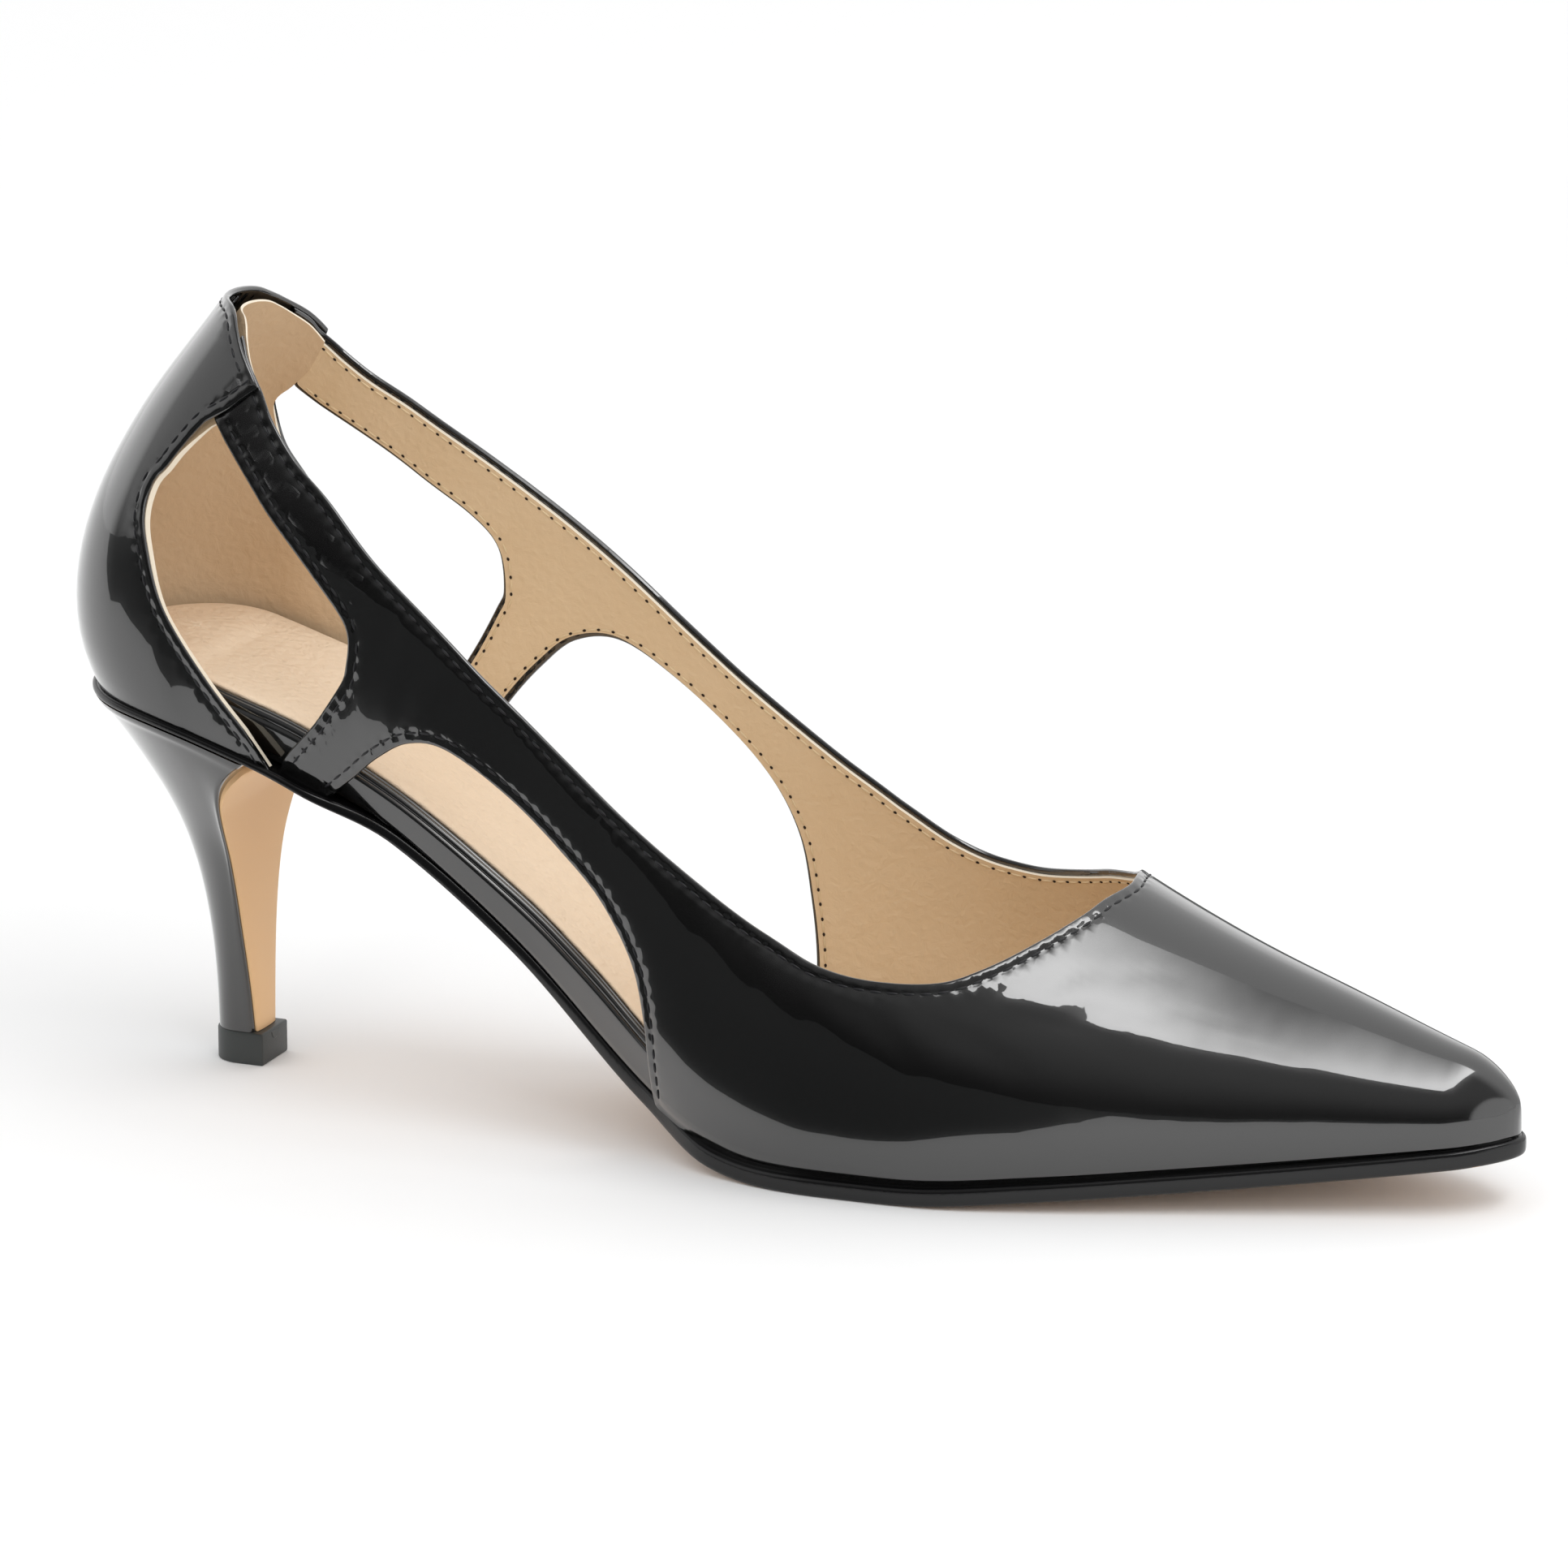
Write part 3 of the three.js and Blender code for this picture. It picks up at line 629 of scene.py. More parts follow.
def surface(name, values):
    """A material with one Principled shader: the material, its node tree and the shader."""
    made = bpy.data.materials.new(name)
    made.use_nodes = True
    shader = made.node_tree.nodes["Principled BSDF"]
    for key, value in values.items():
        shader.inputs[key].default_value = value
    return made, made.node_tree, shader


def in_millimetres(tree):
    """Object coordinates in millimetres."""
    place = node(tree, "ShaderNodeTexCoord").outputs["Object"]
    return node(tree, "ShaderNodeVectorMath", {0: place}, {"Scale": 1000.0}, operation="SCALE").outputs[0]


def patent_leather(name, stitched):
    """Patent leather: black split leather under a poured polyurethane film. The clear coat is a
    sharp mirror, a slight orange peel bends what it shows, and each stitch pulls the film in."""
    made, tree, shader = surface(
        name,
        {
            "Base Color": linear("#0b0b0b"), "Roughness": 0.2, "IOR": 1.45,
            "Coat Weight": 1.0, "Coat Roughness": 0.02, "Coat IOR": 1.75,
        },
    )
    place = in_millimetres(tree)
    peel = node(
        tree, "ShaderNodeTexNoise", {"Vector": place}, {"Scale": 0.12, "Detail": 1.0, "Roughness": 0.4},
    )
    bump = node(
        tree, "ShaderNodeBump", {"Height": peel.outputs[0]}, {"Strength": 0.25, "Distance": 0.00022},
    )
    fine = node(
        tree, "ShaderNodeTexNoise", {"Vector": place}, {"Scale": 0.9, "Detail": 2.0, "Roughness": 0.5},
    )
    bump = node(
        tree, "ShaderNodeBump", {"Height": fine.outputs[0], "Normal": bump.outputs[0]},
        {"Strength": 0.12, "Distance": 0.000012},
    )
    if stitched:
        away = node(tree, "ShaderNodeAttribute", attribute_name="from_edge").outputs["Fac"]
        run = node(tree, "ShaderNodeAttribute", attribute_name="along_edge").outputs["Fac"]
        turns = {1: 2 * math.pi / STITCH_PITCH}
        phase = node(tree, "ShaderNodeMath", {0: run}, turns, operation="MULTIPLY").outputs[0]
        wave = node(tree, "ShaderNodeMath", {0: phase}, operation="COSINE").outputs[0]
        aside = node(tree, "ShaderNodeMath", {0: away}, {1: STITCH_IN}, operation="SUBTRACT").outputs[0]
        square = node(tree, "ShaderNodeMath", {0: aside, 1: aside}, operation="MULTIPLY").outputs[0]
        fall = node(tree, "ShaderNodeMath", {0: square}, {1: -1.1}, operation="MULTIPLY").outputs[0]
        near = node(tree, "ShaderNodeMath", {0: fall}, operation="EXPONENT").outputs[0]
        pull = node(tree, "ShaderNodeMath", {0: near, 1: wave}, operation="MULTIPLY").outputs[0]
        bump = node(
            tree, "ShaderNodeBump", {"Height": pull, "Normal": bump.outputs[0]},
            {"Strength": 0.5, "Distance": 0.00006},
        )
    tree.links.new(bump.outputs[0], shader.inputs["Normal"])
    tree.links.new(bump.outputs[0], shader.inputs["Coat Normal"])
    return made


def lining_leather(name, colour, deep, relief=0.5):
    """Beige lining leather: matt, clouded between two shades, with pebbled grain about 1 mm across
    and soft folds that catch the light. relief is how strong both are."""
    made, tree, shader = surface(name, {"Roughness": 0.62, "IOR": 1.45})
    place = in_millimetres(tree)
    cloud = node(tree, "ShaderNodeTexNoise", {"Vector": place}, {"Scale": 0.05, "Detail": 3.0})
    tint = node(
        tree, "ShaderNodeMix", {"Factor": cloud.outputs[0]}, {6: linear(deep), 7: linear(colour)},
        data_type="RGBA",
    )
    tree.links.new(tint.outputs[2], shader.inputs["Base Color"])
    warp = node(tree, "ShaderNodeTexNoise", {"Vector": place}, {"Scale": 0.35, "Detail": 2.0})
    moved = node(
        tree, "ShaderNodeVectorMath", {0: place, 1: warp.outputs["Color"]}, operation="ADD",
    )
    pebble = node(
        tree, "ShaderNodeTexVoronoi", {"Vector": moved.outputs[0]}, {"Scale": 0.8}, feature="SMOOTH_F1",
    )
    bump = node(
        tree, "ShaderNodeBump", {"Height": pebble.outputs["Distance"]},
        {"Strength": relief, "Distance": 0.00022}, invert=True,
    )
    folds = node(
        tree, "ShaderNodeTexNoise", {"Vector": place},
        {"Scale": 0.42, "Detail": 5.0, "Roughness": 0.62, "Distortion": 0.6},
    )
    bump = node(
        tree, "ShaderNodeBump", {"Height": folds.outputs[0], "Normal": bump.outputs[0]},
        {"Strength": relief, "Distance": 0.00045},
    )
    tree.links.new(bump.outputs[0], shader.inputs["Normal"])
    return made


def plain(name, colour, roughness):
    """One even colour with a fine tooth, under a millimetre, that softens its gloss."""
    made, tree, shader = surface(name, {"Base Color": linear(colour), "Roughness": roughness})
    grain = node(
        tree, "ShaderNodeTexNoise", {"Vector": in_millimetres(tree)}, {"Scale": 1.6, "Detail": 3.0},
    )
    bump = node(
        tree, "ShaderNodeBump", {"Height": grain.outputs[0]}, {"Strength": 0.25, "Distance": 0.00008},
    )
    tree.links.new(bump.outputs[0], shader.inputs["Normal"])
    return made


patent = patent_leather("patent_leather", stitched=True)
smooth_patent = patent_leather("patent_leather_plain", stitched=False)
lining = lining_leather("beige_lining_leather", "#dcc4a2", "#d2b68f")
heel_lining = lining_leather("beige_heel_lining_microfibre", "#cfb493", "#c5a884")
raw_edge = plain("raw_leather_edge", "#eadfcb", 0.8)
# Waxed thread glints a little, and the beige thread on the lining is duller
black_thread = plain("black_polyester_thread", "#1d1d20", 0.38)
beige_thread = plain("beige_polyester_thread", "#d9c29c", 0.6)
# Dark brown dots between the beige stitches are painted shade standing in for the needle's holes, and
# read as a dotted line
needle_hole_shade = plain("needle_hole_shade", "#2b1d12", 0.9)
sock_leather = lining_leather("pale_sock_leather", "#ecd6bb", "#e4cbae", 1.0)
# The sole is one tan leather, waxed on the flap and a little rougher where it treads, with a black inked
# edge. The flap's tan is brightened past the leather's own colour, painted light standing in for light
# from the camera's side, and the tread is a darker, greyer copy of the same tan that throws less warm
# bounce onto the floor.
brightened_tan_sole = plain("tan_sole_leather_with_painted_light", "#f0c592", 0.5)
tan_under = plain("tan_tread_leather", "#a98b6d", 0.55)
edge_ink = plain("black_edge_ink", "#0c0c0d", 0.2)
rubber = plain("heel_tip_polyurethane", "#343736", 0.42)


def toe_stations(step):
    """Cuts across the vamp, closer together round the toe."""
    body = stations(0, LAST_LENGTH - TOE_ROUND, step)
    turn = np.linspace(0, math.pi / 2, 10)[:-1]
    return body + [LAST_LENGTH - TOE_ROUND + TOE_ROUND * math.sin(a) for a in turn]


# Flex creases and soft dents in the patent: where each is on the flat sheet (x, y), its length, half
# width, turn from the length of the shoe in degrees, and depth
CREASES = [
    (158, 24, 18, 3.2, -35, 0.1),
    (164, 33, 15, 2.6, 20, 0.1),
    (171, 27, 20, 3.4, -20, 0.09),
    (175, 39, 16, 2.4, 38, 0.1),
    (182, 34, 20, 3, 5, 0.09),
    (184, 47, 14, 2.2, 48, 0.09),
    (192, 41, 18, 2.6, 15, 0.08),
    (195, 55, 13, 2.4, 30, 0.06),
    (203, 47, 16, 2.4, 8, 0.06),
    (213, 42, 14, 2.6, -8, 0.05),
    (146, 20, 16, 3.4, -55, 0.1),
    (134, 26, 14, 3, -60, 0.1),
    (122, 30, 13, 2.8, -50, 0.1),
    (104, 28, 14, 2.6, -25, 0.1),
    (88, 27, 12, 2.4, 15, 0.12),
    (78, 24, 11, 2.2, 40, 0.14),
    (70, 21, 10, 2, 60, 0.14),
    (66, 27, 10, 2, 75, 0.12),
    (60, 16, 10, 2, 70, 0.1),
    (56, 33, 10, 2, -10, 0.1),
    (160, 152, 18, 3.2, 30, 0.1),
    (172, 146, 16, 2.8, -15, 0.09),
    (184, 139, 17, 2.8, -30, 0.08),
    (198, 134, 15, 2.6, -12, 0.06),
    (136, 148, 15, 3, 55, 0.1),
    (84, 146, 12, 2.4, -20, 0.12),
    (72, 150, 11, 2.2, -50, 0.12),
]


def flex(flat, distance):
    """The creases as one height: a sunk line with a low swelling on each side."""
    height = np.zeros(len(flat))
    for x, y, length, width, degrees, depth in CREASES:
        turn = math.radians(degrees)
        dx, dy = flat[:, 0] - x, flat[:, 1] - y
        along = (dx * math.cos(turn) + dy * math.sin(turn)) / (length / 2)
        bend = 0.12 * length * (along**2 - 0.4)
        aside = (dy * math.cos(turn) - dx * math.sin(turn) + bend) / width
        height += depth * np.exp(-(along**2) * 1.5 - aside**2) * (1.2 * aside**2 - 1)
    clear = np.clip((distance - 2.4) / 2, 0, 1)
    return height * clear


def patent_shape(wall, creased):
    """Rolled edges, the groove the stitches lie in and, where the foot bends it, the creases."""

    def shape(back, distance, flat):
        rolled = bullnose(distance, wall / 2)
        groove = GROOVE_DEPTH * np.exp(-(((distance - STITCH_IN) / GROOVE_WIDTH) ** 2))
        face = -rolled - groove
        if creased:
            face = face + flex(flat, distance)
        return np.where(back, rolled - wall, face)

    return shape


def lining_shape(back, distance, flat):
    return np.where(back, -PATENT - LINING_GAP - LINING, -PATENT - LINING_GAP)


vamp_outline = vamp_lines()
vamp_edges = Edges(FORE, vamp_outline, 0.0)
near_ridge = (SIDE - 6, SIDE + 6)
fore_cells = {
    "across": toe_stations(1.4),
    "up": [
        *stations(0, near_ridge[0], 2), near_ridge[0], *stations(*near_ridge, 1),
        near_ridge[1], *stations(near_ridge[1], 2 * SIDE, 2),
    ],
}
sheet = leather(
    FORE, vamp_outline, vamp_edges, **fore_cells, rings=PATENT_RINGS,
    shape=patent_shape(PATENT, creased=True),
)
piece(sheet, "vamp_and_straps", "upper", patent, stands_for=["upper"], sharp=60)

sheet = leather(
    FORE, vamp_outline, vamp_edges, **fore_cells, inset=LINING_INSET, rings=LINING_RINGS,
    shape=lining_shape, raw=True,
)
piece(sheet, "vamp_lining", "upper", lining, raw_edge, sharp=35)

counter_outline = counter_lines()
counter_edges = Edges(BACK, counter_outline, 0.0)
heel_cells = {"across": stations(-90, 90, 1.6), "up": stations(0, 60, 2)}
sheet = leather(
    BACK, counter_outline, counter_edges, **heel_cells, rings=PATENT_RINGS,
    shape=patent_shape(COUNTER_WALL, creased=False),
)
piece(sheet, "counter_cover", "counter", patent, stands_for=["counter"], sharp=60)


def heel_lining_shape(back, distance, flat):
    under_strap = (flat[:, 1] - STRAP_END_HEIGHT) / HEEL_LINING_SPAN
    settled = eased(np.maximum(distance / HEEL_LINING_SPAN, under_strap))
    start = HEEL_LINING_START + HEEL_LINING_SETTLES * settled
    wall = HEEL_LINING_WALL + HEEL_LINING_EDGE_WALL * (1 - settled)
    return np.where(back, -start - wall, -start)


sheet = leather(
    BACK, counter_outline, counter_edges, **heel_cells, inset=0.2, rings=LINING_RINGS,
    shape=heel_lining_shape, raw=True,
)
piece(sheet, "counter_lining", "upper", heel_lining, raw_edge, sharp=35)


def under_counter_tab(flat):
    """True where the counter's tabs cover the ends of the straps."""
    outer = flat[1] < SIDE
    height = flat[1] if outer else 2 * SIDE - flat[1]
    return flat[0] < (26 if outer else 20) and height > 0.2 * SIDE


def stitch_row(part, edges, depth, thread, name, slot, radius, hole_shade=None, skip=lambda flat: False):
    """A row of stitches sunk in the leather, one small rounded bar each, and, given a hole material, a
    dark dot of painted shade for each needle hole.
    """
    bars, shade_dots = bmesh.new(), bmesh.new()
    ball, ball_mesh = bmesh.new(), bpy.data.meshes.new("stitch")

    def add_ball(into, matrix, around, high):
        """Adds one small ball, made on its own first because a growing mesh is slow to add to."""
        ball.clear()
        bmesh.ops.create_uvsphere(ball, u_segments=around, v_segments=high, radius=1, matrix=matrix)
        ball.to_mesh(ball_mesh)
        into.from_mesh(ball_mesh)

    for flat, run in edges.rows(STITCH_IN):
        space = part.place(flat[:, 0], flat[:, 1], np.full(len(flat), float(depth)))
        lifted = part.place(flat[:, 0], flat[:, 1], np.full(len(flat), float(depth) + 0.5))
        first = math.ceil((run[0] + FIRST_STITCH) / STITCH_PITCH)
        last = math.floor((run[-1] - LAST_STITCH) / STITCH_PITCH - 0.5)
        for count in range(first, last + 1):
            at = (count + 0.5) * STITCH_PITCH
            if skip([np.interp(at, run, flat[:, k]) for k in (0, 1)]):
                continue
            back, middle, front = (
                Vector([np.interp(r, run, space[:, k]) for k in range(3)])
                for r in (at - STITCH_LENGTH / 2, at, at + STITCH_LENGTH / 2)
            )
            top = Vector([np.interp(at, run, lifted[:, k]) for k in range(3)])
            across = (front - back).normalized()
            side = (top - middle).normalized().cross(across).normalized()
            turn = Matrix((across, side, across.cross(side))).transposed().to_4x4()
            spot = Matrix.Translation(Vector(in_frame(middle)))
            size = Matrix.Diagonal((STITCH_LENGTH / 2 * MM, radius * MM, radius * MM, 1))
            add_ball(bars, spot @ turn @ size @ Matrix.Rotation(math.pi / 2, 4, "Y"), 6, 6)
            # Each needle hole is a flattened dark ball on the surface: painted shade, not a hole
            if hole_shade:
                low = Vector([np.interp(at + STITCH_PITCH / 2, run, space[:, k]) for k in range(3)])
                spot = Matrix.Translation(Vector(in_frame(low)))
                size = Matrix.Diagonal((*(radius * MM for radius in HOLE_SHADE_RADII), 1))
                add_ball(shade_dots, spot @ turn @ size, 8, 5)
    piece(bars, name, slot, thread, sharp=180)
    if hole_shade:
        piece(shade_dots, name + "_hole_shade", slot, hole_shade, sharp=180)


stitch_row(
    FORE, vamp_edges, -STITCH_SUNK, black_thread, "vamp_stitches", "upper", STITCH_RADIUS,
    skip=under_counter_tab,
)
stitch_row(
    BACK, counter_edges, -STITCH_SUNK, black_thread, "counter_stitches", "counter", STITCH_RADIUS,
)
stitch_row(
    FORE, vamp_edges, -PATENT - LINING - 0.03, beige_thread, "vamp_lining_stitches", "upper",
    LINING_STITCH_RADIUS, hole_shade=needle_hole_shade, skip=under_counter_tab,
)


def sleeve(rows, ring_size, place):
    """A closed skin. A grid is bent so that place(share, k) gives point k of a ring, and welded."""
    bm = bmesh.new()
    bmesh.ops.create_grid(bm, x_segments=rows, y_segments=ring_size, size=0.5)
    flat = np.array([v.co for v in bm.verts])
    share = np.clip(flat[:, 0] + 0.5, 0, 1)
    k = np.rint((flat[:, 1] + 0.5) * ring_size).astype(int) % ring_size
    for vert, at in zip(bm.verts, in_frame(place(share, k))):
        vert.co = at
    bmesh.ops.remove_doubles(bm, verts=bm.verts[:], dist=1e-6)
    bmesh.ops.recalc_face_normals(bm, faces=bm.faces[:])
    return bm


def capped(bm):
    """Closes the open ends of a skin."""
    rims = [edge for edge in bm.edges if edge.is_boundary]
    bmesh.ops.holes_fill(bm, edges=rims, sides=0)
    bmesh.ops.recalc_face_normals(bm, faces=bm.faces[:])
    return bm


def layer(profile, offset_at, bottom_at, top_at, toe_room=0.0):
    """A flat layer under the foot. profile lists the outer half of its section, from the middle of
    the bottom to the middle of the top. Each row is the distance in from the rim (None for the
    middle), the share of the height and an extra height."""
    half = len(profile)
    ring = [(-1, *p) for p in profile] + [(1, *p) for p in profile[-2:0:-1]]
    sides = np.array([r[0] for r in ring])
    middle = np.array([r[1] is None for r in ring])
    inset = np.array([r[1] or 0 for r in ring], float)
    inset[middle] = inset.max()
    level = np.array([r[2] for r in ring])
    extra = np.array([r[3] for r in ring])
    length = LAST_LENGTH - toe_room

    def place(share, k):
        along = (1 - np.cos(math.pi * share)) / 2 * length / LAST_LENGTH
        heel, toe, _, width = ends(along, length)
        x = along * LAST_LENGTH + lean(along, 0) + (offset_at(along) - inset[k]) * (toe - heel)
        outer = read(sections, "outer", along)
        inner = read(sections, "inner", along)
        rim = BALL_WIDTH * np.where(sides[k] < 0, outer, inner) + offset_at(along)
        squeezed = np.minimum(rim / (inset.max() + 1), 1)
        reach = np.where(middle[k], 0, rim - inset[k] * squeezed)
        y = BALL_WIDTH * read(sections, "swing", along) + sides[k] * reach * width
        base = feather_height(along)
        low, high = base + bottom_at(along), base + top_at(along)
        return np.stack([x, y, low + (high - low) * level[k] + extra[k]], axis=-1)

    return sleeve(220, len(ring), place)


def sole_thickness(along):
    shank = SEAT + (SHANK - SEAT) * read(sole_depth, "share", along)
    return (shank + (SOLE - shank) * eased((along - 0.33) / 0.13)) * steepness(along)


def sole_top(along):
    return -GAP * steepness(along)


def sole_bottom(along):
    return sole_top(along) - sole_thickness(along)


def inside_upper(along):
    return -stand_back(along) - UPPER_WALL - GAP


def insole_top(along):
    return INSOLE * read(insole_depth, "share", along) * steepness(along)


# The insole's side is undercut, so that it mirrors the floor, and two beads run along its top
INSOLE_PROFILE = [
    (None, 0, 0), (8, 0, 0), (1.62, 0, 0), (1.55, 0.01, 0), (1.25, 0.15, 0), (0.95, 0.3, 0),
    (0.65, 0.45, 0), (0.35, 0.6, 0), (0.12, 0.72, 0), (0.02, 0.79, 0), (0.25, 0.84, 0), (0.5, 0.86, 0),
    (0.42, 0.89, 0), (0.4, 0.93, 0), (0.5, 0.97, 0), (0.8, 1, 0.12), (1.2, 1, 0.05), (1.45, 1, -0.2),
    (1.6, 1, 0.0), (1.9, 1, 0.22), (2.3, 1, 0.1), (2.6, 1, -0.3), (4.6, 1, -0.35), (None, 1, -0.35),
]
insole = layer(
    INSOLE_PROFILE,
    lambda along: inside_upper(along) + INSOLE_STANDS_OUT,
    lambda along: 0 * along,
    insole_top,
    INSOLE_TOE_ROOM,
)
piece(insole, "insole_cover", "insole", smooth_patent, stands_for=["insole"], sharp=70)

SOCK_PROFILE = [
    (None, 0, -0.3), (4, 0, -0.3), (0.7, 0, -0.3), (0.25, 0.3, 0), (0.1, 0.6, 0), (0.2, 0.85, 0),
    (0.6, 0.97, 0), (1.3, 1, 0.05), (3, 1, 0.0), (7, 1, -0.25), (12, 1, -0.45), (None, 1, -0.6),
]
sock = layer(
    SOCK_PROFILE,
    lambda along: inside_upper(along) - SOCK_MARGIN,
    lambda along: insole_top(along) - 0.1,
    lambda along: insole_top(along) + SOCK * steepness(along),
    INSOLE_TOE_ROOM + SOCK_MARGIN,
)
piece(sock, "sock_lining", "sock", sock_leather, stands_for=["sock"], sharp=70)

SOLE_PROFILE = [
    (None, 0, 0), (8, 0, 0), (1.2, 0, 0), (0.55, 0, 0.02), (0.25, 0.06, 0.02), (0.08, 0.16, 0),
    (0, 0.32, 0), (-0.02, 0.55, 0), (0, 0.78, 0), (0.08, 0.9, 0), (0.25, 0.98, 0), (0.5, 1, 0.02),
    (0.62, 1, -0.14), (0.74, 1, 0), (1.2, 1, 0), (8, 1, 0), (None, 1, 0),
]


def sole_rim(along):
    """The sole's edge is drawn in at the waist, where the foot's side is bare."""
    waist = np.clip((along - 0.19) / 0.06, 0, 1) * np.clip((0.5 - along) / 0.06, 0, 1)
    return SOLE_EDGE - WAIST_DRAWN_IN * eased(waist)


sole = layer(SOLE_PROFILE, sole_rim, sole_bottom, sole_top)
# Faces that look down get the darker, greyer copy of the tan, and the rest of the sheet gets the black
# ink
for face in sole.faces:
    facing = face.normal
    underneath = facing.z < -0.45 and abs(facing.y) < 0.4 and facing.x < 0.4
    face.material_index = 1 if underneath else 0
piece(sole, "outsole_sheet", "outsole", edge_ink, tan_under, stands_for=["outsole"], sharp=70)

SEAT_END = SEAT_LENGTH / LAST_LENGTH
TIP_Z = TOP_PIECE + GAP


def tip_round(share):
    """A quarter of the heel tip's D, from its back to its front corner, in tip lengths and halves."""
    radius = TIP_HALF / TIP_LENGTH
    turn = np.clip(share / 0.7, 0, 1)
    straight = np.clip((share - 0.7) / 0.3, 0, 1)
    x = radius * (1 - np.cos(turn * math.pi / 2)) + (1 - radius) * straight
    return x, np.sin(turn * math.pi / 2)


def heel_point(share, inner, up):
    """A place on the heel's side. share runs from its back to the breast, up from tip to seat."""
    along = (1 - np.cos(math.pi * share * 0.5)) * SEAT_END
    heel, _, _, width = ends(along)
    seat_x = along * LAST_LENGTH + lean(along, 0) - SOLE_EDGE * 0.5 * heel
    half = np.where(inner, read(sections, "inner", along), read(sections, "outer", along))
    seat_half = (BALL_WIDTH * half + SOLE_EDGE * 0.5) * width
    seat_z = feather_height(along) + sole_bottom(along) - GAP
    grow = {name: read(heel_shape, name, up) for name in ("back", "front", "side")}
    round_x, round_y = tip_round(share)
    tip_x = TIP_BACK + TIP_LENGTH * round_x
    slide = grow["back"] + (grow["front"] - grow["back"]) * share**2
    x = tip_x + (seat_x - tip_x) * slide
    y = TIP_HALF * round_y + (seat_half - TIP_HALF * round_y) * grow["side"]
    y = np.where(inner, 1, -1) * y
    return np.stack([x, y, TIP_Z + (seat_z - TIP_Z) * up], axis=-1)


# How many points of the heel's ring lie on each side and round each front corner
HEEL_SIDE = 22
HEEL_CORNER = 6
HEEL_RING = 2 * (HEEL_SIDE + HEEL_CORNER) + 5
CORNER_RADIUS = 1.15


def heel_ring_point(up, k):
    """Point k of the heel's ring: down one side, round its front corner and across the breast."""
    half = HEEL_SIDE + HEEL_CORNER
    inner = k > half + 2
    place = np.where(inner, HEEL_RING - k, k)
    one = np.ones_like(up)
    corner = heel_point(one, inner, up)
    behind = heel_point(one * 0.93, inner, up)
    side_way = behind - corner
    side_way /= np.linalg.norm(side_way, axis=-1)[:, None]
    cut_share = 1 - 0.07 * CORNER_RADIUS / np.linalg.norm(behind - corner, axis=-1)
    share = np.clip(place / (HEEL_SIDE - 1), 0, 1) * cut_share
    along_side = heel_point(share, inner, up)
    t = np.clip((place - HEEL_SIDE + 1) / (HEEL_CORNER + 1), 0, 1)[:, None]
    across = np.zeros_like(corner)
    across[:, 1] = -np.sign(corner[:, 1])
    start = heel_point(cut_share, inner, up)
    end = corner + across * CORNER_RADIUS
    bent = (1 - t) ** 2 * start + 2 * t * (1 - t) * corner + t**2 * end
    points = np.where((place < HEEL_SIDE)[:, None], along_side, bent)
    middle = np.where(place > half, (place - half) / 2.5, 0)[:, None]
    level = corner.copy()
    level[:, 1] = 0
    return np.where((place > half)[:, None], end + (level - end) * middle, points)


def heel_place(share, k):
    """The heel's skin, with a low lip where it meets the sole."""
    up = np.clip(share, 0, 1)
    points = heel_ring_point(up, k)
    lip = HEEL_LIP * np.exp(-(((up - 0.985) / 0.012) ** 2))
    out = points - np.stack([np.full(len(up), HEEL_MIDDLE), 0 * up, points[:, 2]], axis=-1)
    out /= np.maximum(np.linalg.norm(out, axis=-1), 1e-6)[:, None]
    return points + out * lip[:, None]


heel = capped(sleeve(120, HEEL_RING, heel_place))
piece(heel, "heel_cover", "heel", smooth_patent, stands_for=["heel"], sharp=50)


# Half of the flap's section, as its share of the width and its depth
FLAP_SECTION = [(0, 0.0), (0, 0.35), (0.06, 0.5), (0.25, 0.62), (0.5, 0.66)]


def flap_place(share, k):
    """The sole leather turned down the breast: a thin slab with eased edges."""
    up = np.clip(share, 0, 1) * FLAP_TOP
    one = np.ones_like(up)
    outer, inner = heel_point(one, False, up), heel_point(one, True, up)
    step = 0.02
    above = heel_point(one, False, np.minimum(up + step, 1))
    below = heel_point(one, False, np.maximum(up - step, 0))
    run = np.hypot(above[:, 0] - below[:, 0], above[:, 2] - below[:, 2])
    out_x, out_z = (above[:, 2] - below[:, 2]) / run, -(above[:, 0] - below[:, 0]) / run
    ring = FLAP_SECTION + [(1 - across, depth) for across, depth in FLAP_SECTION[-2::-1]]
    shares, depths = np.array(ring).T
    corner = np.clip(1 - (FLAP_TOP - up) * (HEEL_RISE - TIP_Z) / FLAP_CORNER, 0, 1)
    margin = FLAP_MARGIN + FLAP_CORNER * (1 - np.sqrt(1 - corner**2))
    width = inner[:, 1] - outer[:, 1] - 2 * margin
    y = outer[:, 1] + margin + width * shares[k]
    depth = depths[k] * (1 + 1.4 * np.clip((up - 0.8) / 0.12, 0, 1))
    x = outer[:, 0] + (inner[:, 0] - outer[:, 0]) * shares[k] + out_x * depth
    z = outer[:, 2] + out_z * depth
    return np.stack([x, y, z], axis=-1)


flap = capped(sleeve(90, 2 * len(FLAP_SECTION) - 1, flap_place))
# The flap wears the brightened tan, painted light from the camera's side
piece(flap, "heel_breast_flap", "outsole", brightened_tan_sole, sharp=60)


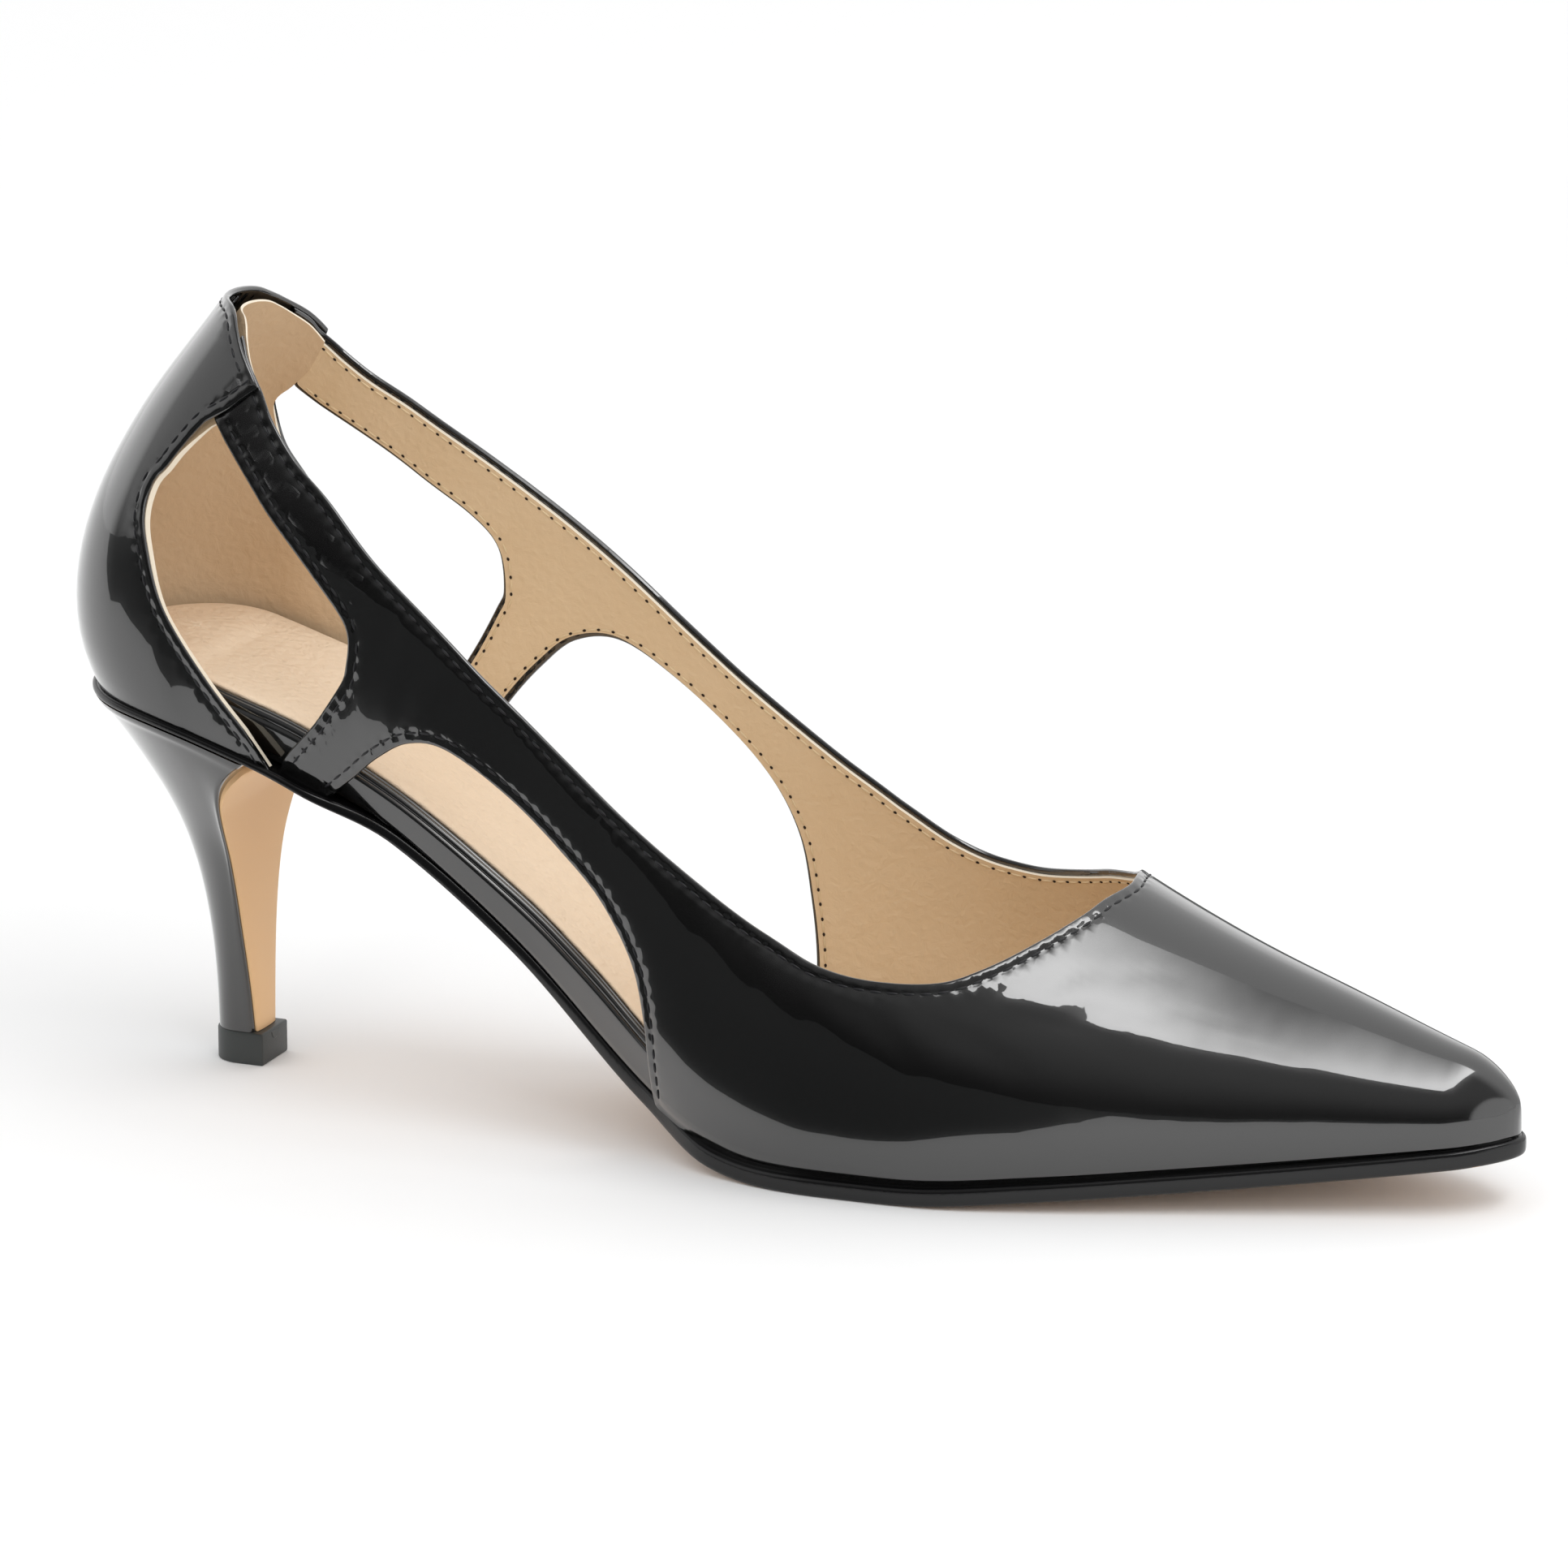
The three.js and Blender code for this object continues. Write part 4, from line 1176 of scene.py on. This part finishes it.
def tip_block():
    """The heel tip: a D-shaped rubber lift with eased edges."""
    bm = bmesh.new()
    half = TIP_HALF + OVERHANG
    back = TIP_BACK - OVERHANG
    turn = np.linspace(math.pi / 2, 3 * math.pi / 2, 25)
    rounded = [(back + half + half * math.cos(a), half * math.sin(a)) for a in turn]
    outline = [(TIP_FRONT, half), *rounded, (TIP_FRONT, -half)]
    base = bm.faces.new([bm.verts.new(in_frame((x, y, 0))) for x, y in outline])
    grown = bmesh.ops.extrude_face_region(bm, geom=[base])
    tall = (0, 0, (TIP_Z - 0.05) * MM)
    bmesh.ops.translate(bm, verts=verts_of(grown), vec=tall)
    bmesh.ops.recalc_face_normals(bm, faces=bm.faces[:])
    sharp = [e for e in bm.edges if len(e.link_faces) == 2 and e.calc_face_angle() > 0.6]
    bmesh.ops.bevel(
        bm, geom=sharp, offset=TIP_EASING * MM, segments=3, profile=0.5, affect="EDGES", material=-1,
    )
    return bm


def notch_mark():
    """The half-round mark moulded at the top of the tip's front face."""
    bm = bmesh.new()
    bmesh.ops.create_circle(bm, cap_ends=True, radius=NOTCH_RADIUS * MM, segments=32)
    everything = bm.verts[:] + bm.edges[:] + bm.faces[:]
    bmesh.ops.bisect_plane(bm, geom=everything, dist=1e-7, plane_no=(0, 1, 0), clear_outer=True)
    sunk = {"thickness": 0.2 * MM, "depth": 0.12 * MM}
    bmesh.ops.inset_region(bm, faces=bm.faces[:], use_boundary=True, **sunk)
    rim = [edge for edge in bm.edges if edge.is_boundary]
    grown = bmesh.ops.extrude_edge_only(bm, edges=rim)
    bmesh.ops.translate(bm, verts=verts_of(grown), vec=(0, 0, -0.3 * MM))
    capped(bm)
    spot = Matrix.Translation(Vector(in_frame((TIP_FRONT, 0, TOP_PIECE - 0.2))))
    upright = Matrix.Rotation(math.pi / 2, 4, "Z") @ Matrix.Rotation(math.pi / 2, 4, "X")
    bmesh.ops.transform(bm, matrix=spot @ upright, verts=bm.verts[:])
    return bm


piece(notch_mark(), "heel_tip_mark", "top_piece", rubber, sharp=30)
piece(tip_block(), "heel_tip", "top_piece", rubber, stands_for=["top_piece"], sharp=40)

pale, _, _ = surface("studio_floor", {"Base Color": (0.94, 0.94, 0.94, 1), "Roughness": 0.9})
sheet = bmesh.new()
bmesh.ops.create_grid(sheet, x_segments=1, y_segments=1, size=6)
shown_object(sheet, "floor", pale)

# Patent leather is shaped by what it mirrors. The shoe stands on white, with a pale wall behind it
# and past the toe, a long soft box above and a black card on the floor before it. The mirror sees
# all of them. The camera sees white, and the leather's own colours are lit by an even white dome.


def card(name, outline, height, material, *, lights=False):
    """A flat studio card, level with the floor, outlined in millimetres on the last."""
    bm = bmesh.new()
    bm.faces.new([bm.verts.new(in_frame((x, y, height))) for x, y in outline])
    shown = shown_object(bm, name, material)
    shown.visible_camera = False
    shown.visible_shadow = False
    shown.visible_diffuse = lights


# Matt black card, lifted a little as black card is under studio light
black, _, _ = surface(
    "black_card",
    {
        "Base Color": (0, 0, 0, 1), "Roughness": 1.0,
        "Emission Color": (0.95, 1, 1, 1), "Emission Strength": 0.06,
    },
)
CARD_HEIGHT = 0.6
card(
    "card_before_the_shoe",
    [
        (75, -48), (35, -85), (-20, -125), (-125, -207), (-340, -215), (-380, -150), (-5800, -300),
        (-5800, -5800), (5800, -5800), (330, -320), (225, -115), (190, -68), (150, -51),
    ],
    CARD_HEIGHT, black,
)

card(
    "card_behind_the_shoe",
    [(20, 120), (20, 5800), (2400, 5800), (420, 160), (330, 120)],
    CARD_HEIGHT, black,
)

# A white diffuser, brighter towards the toe, which gives the vamp its one bright streak
soft, tree, shader = surface(
    "soft_box", {"Base Color": (0, 0, 0, 1), "Roughness": 1.0, "Emission Color": (1, 1, 1, 1)},
)
place = node(tree, "ShaderNodeTexCoord").outputs["Object"]
glow = node(
    tree, "ShaderNodeMapRange", {"Value": node(tree, "ShaderNodeSeparateXYZ", {0: place}).outputs[0]},
    {"From Min": 0.2, "From Max": 0.62, "To Min": 0.4, "To Max": 6.5},
    interpolation_type="SMOOTHSTEP",
)
tree.links.new(glow.outputs[0], shader.inputs["Emission Strength"])
card("soft_box_above", [(270, -800), (270, 200), (770, 200), (770, -800)], 1000, soft, lights=True)

world = bpy.data.worlds.new("studio")
bpy.context.scene.world = world
world.use_nodes = True
tree = world.node_tree


def pale_wall(direction, start, stop, strength):
    """How bright the mirrored room is towards a direction, from start to stop of its cosine."""
    place = node(tree, "ShaderNodeTexCoord").outputs["Generated"]
    reach = node(tree, "ShaderNodeVectorMath", {0: place}, {1: direction}, operation="DOT_PRODUCT")
    return node(
        tree, "ShaderNodeMapRange", {"Value": reach.outputs["Value"]},
        {"From Min": start, "From Max": stop, "To Min": 0, "To Max": strength},
        interpolation_type="SMOOTHSTEP",
    ).outputs[0]


mirrored = pale_wall((0, 0, 1), -0.1, 0.6, 0.28)
walls = [
    ((0, 1, 0), -0.2, 0.25, 1.0),
    ((-0.9, 0.43, 0), 0.75, 0.92, 1.2),
    ((-0.78, -0.41, 0.47), 0.8, 0.92, 0.7),
    ((0.98, -0.17, 0), 0.88, 0.93, 1.1),
]
for wall in walls:
    brighter = {0: mirrored, 1: pale_wall(*wall)}
    mirrored = node(tree, "ShaderNodeMath", brighter, operation="MAXIMUM").outputs[0]
rays = node(tree, "ShaderNodeLightPath").outputs
lit = {"Factor": rays["Is Diffuse Ray"], "A": mirrored}
dome = node(tree, "ShaderNodeMix", lit, {"B": 1.06}, data_type="FLOAT").outputs[0]
white = {"Factor": rays["Is Camera Ray"], "A": dome}
seen = node(tree, "ShaderNodeMix", white, {"B": 1.0}, data_type="FLOAT").outputs[0]
backdrop = tree.nodes["Background"]
backdrop.inputs["Color"].default_value = (1, 1, 1, 1)
tree.links.new(seen, backdrop.inputs["Strength"])

# The camera stands where the photographer's did, as worked out from the shoe's outline
AZIMUTH, ELEVATION = math.radians(22), math.radians(15.6)
DISTANCE = 1.5
SENSOR = 36
aim = Vector(in_frame((126.3, 0, 57.3)))
level = math.cos(ELEVATION)
back = Vector((math.sin(AZIMUTH) * level, -math.cos(AZIMUTH) * level, math.sin(ELEVATION)))
camera = bpy.data.objects.new("camera", bpy.data.cameras.new("camera"))
bpy.context.scene.collection.objects.link(camera)
camera.location = aim + back * DISTANCE
camera.rotation_mode = "QUATERNION"
camera.rotation_quaternion = (-back).to_track_quat("-Z", "Y")
camera.data.sensor_width = SENSOR
camera.data.lens = 5.9 * SENSOR
camera.data.clip_start, camera.data.clip_end = 0.1, 50
bpy.context.scene.camera = camera
bpy.context.scene.view_settings.view_transform = "Standard"
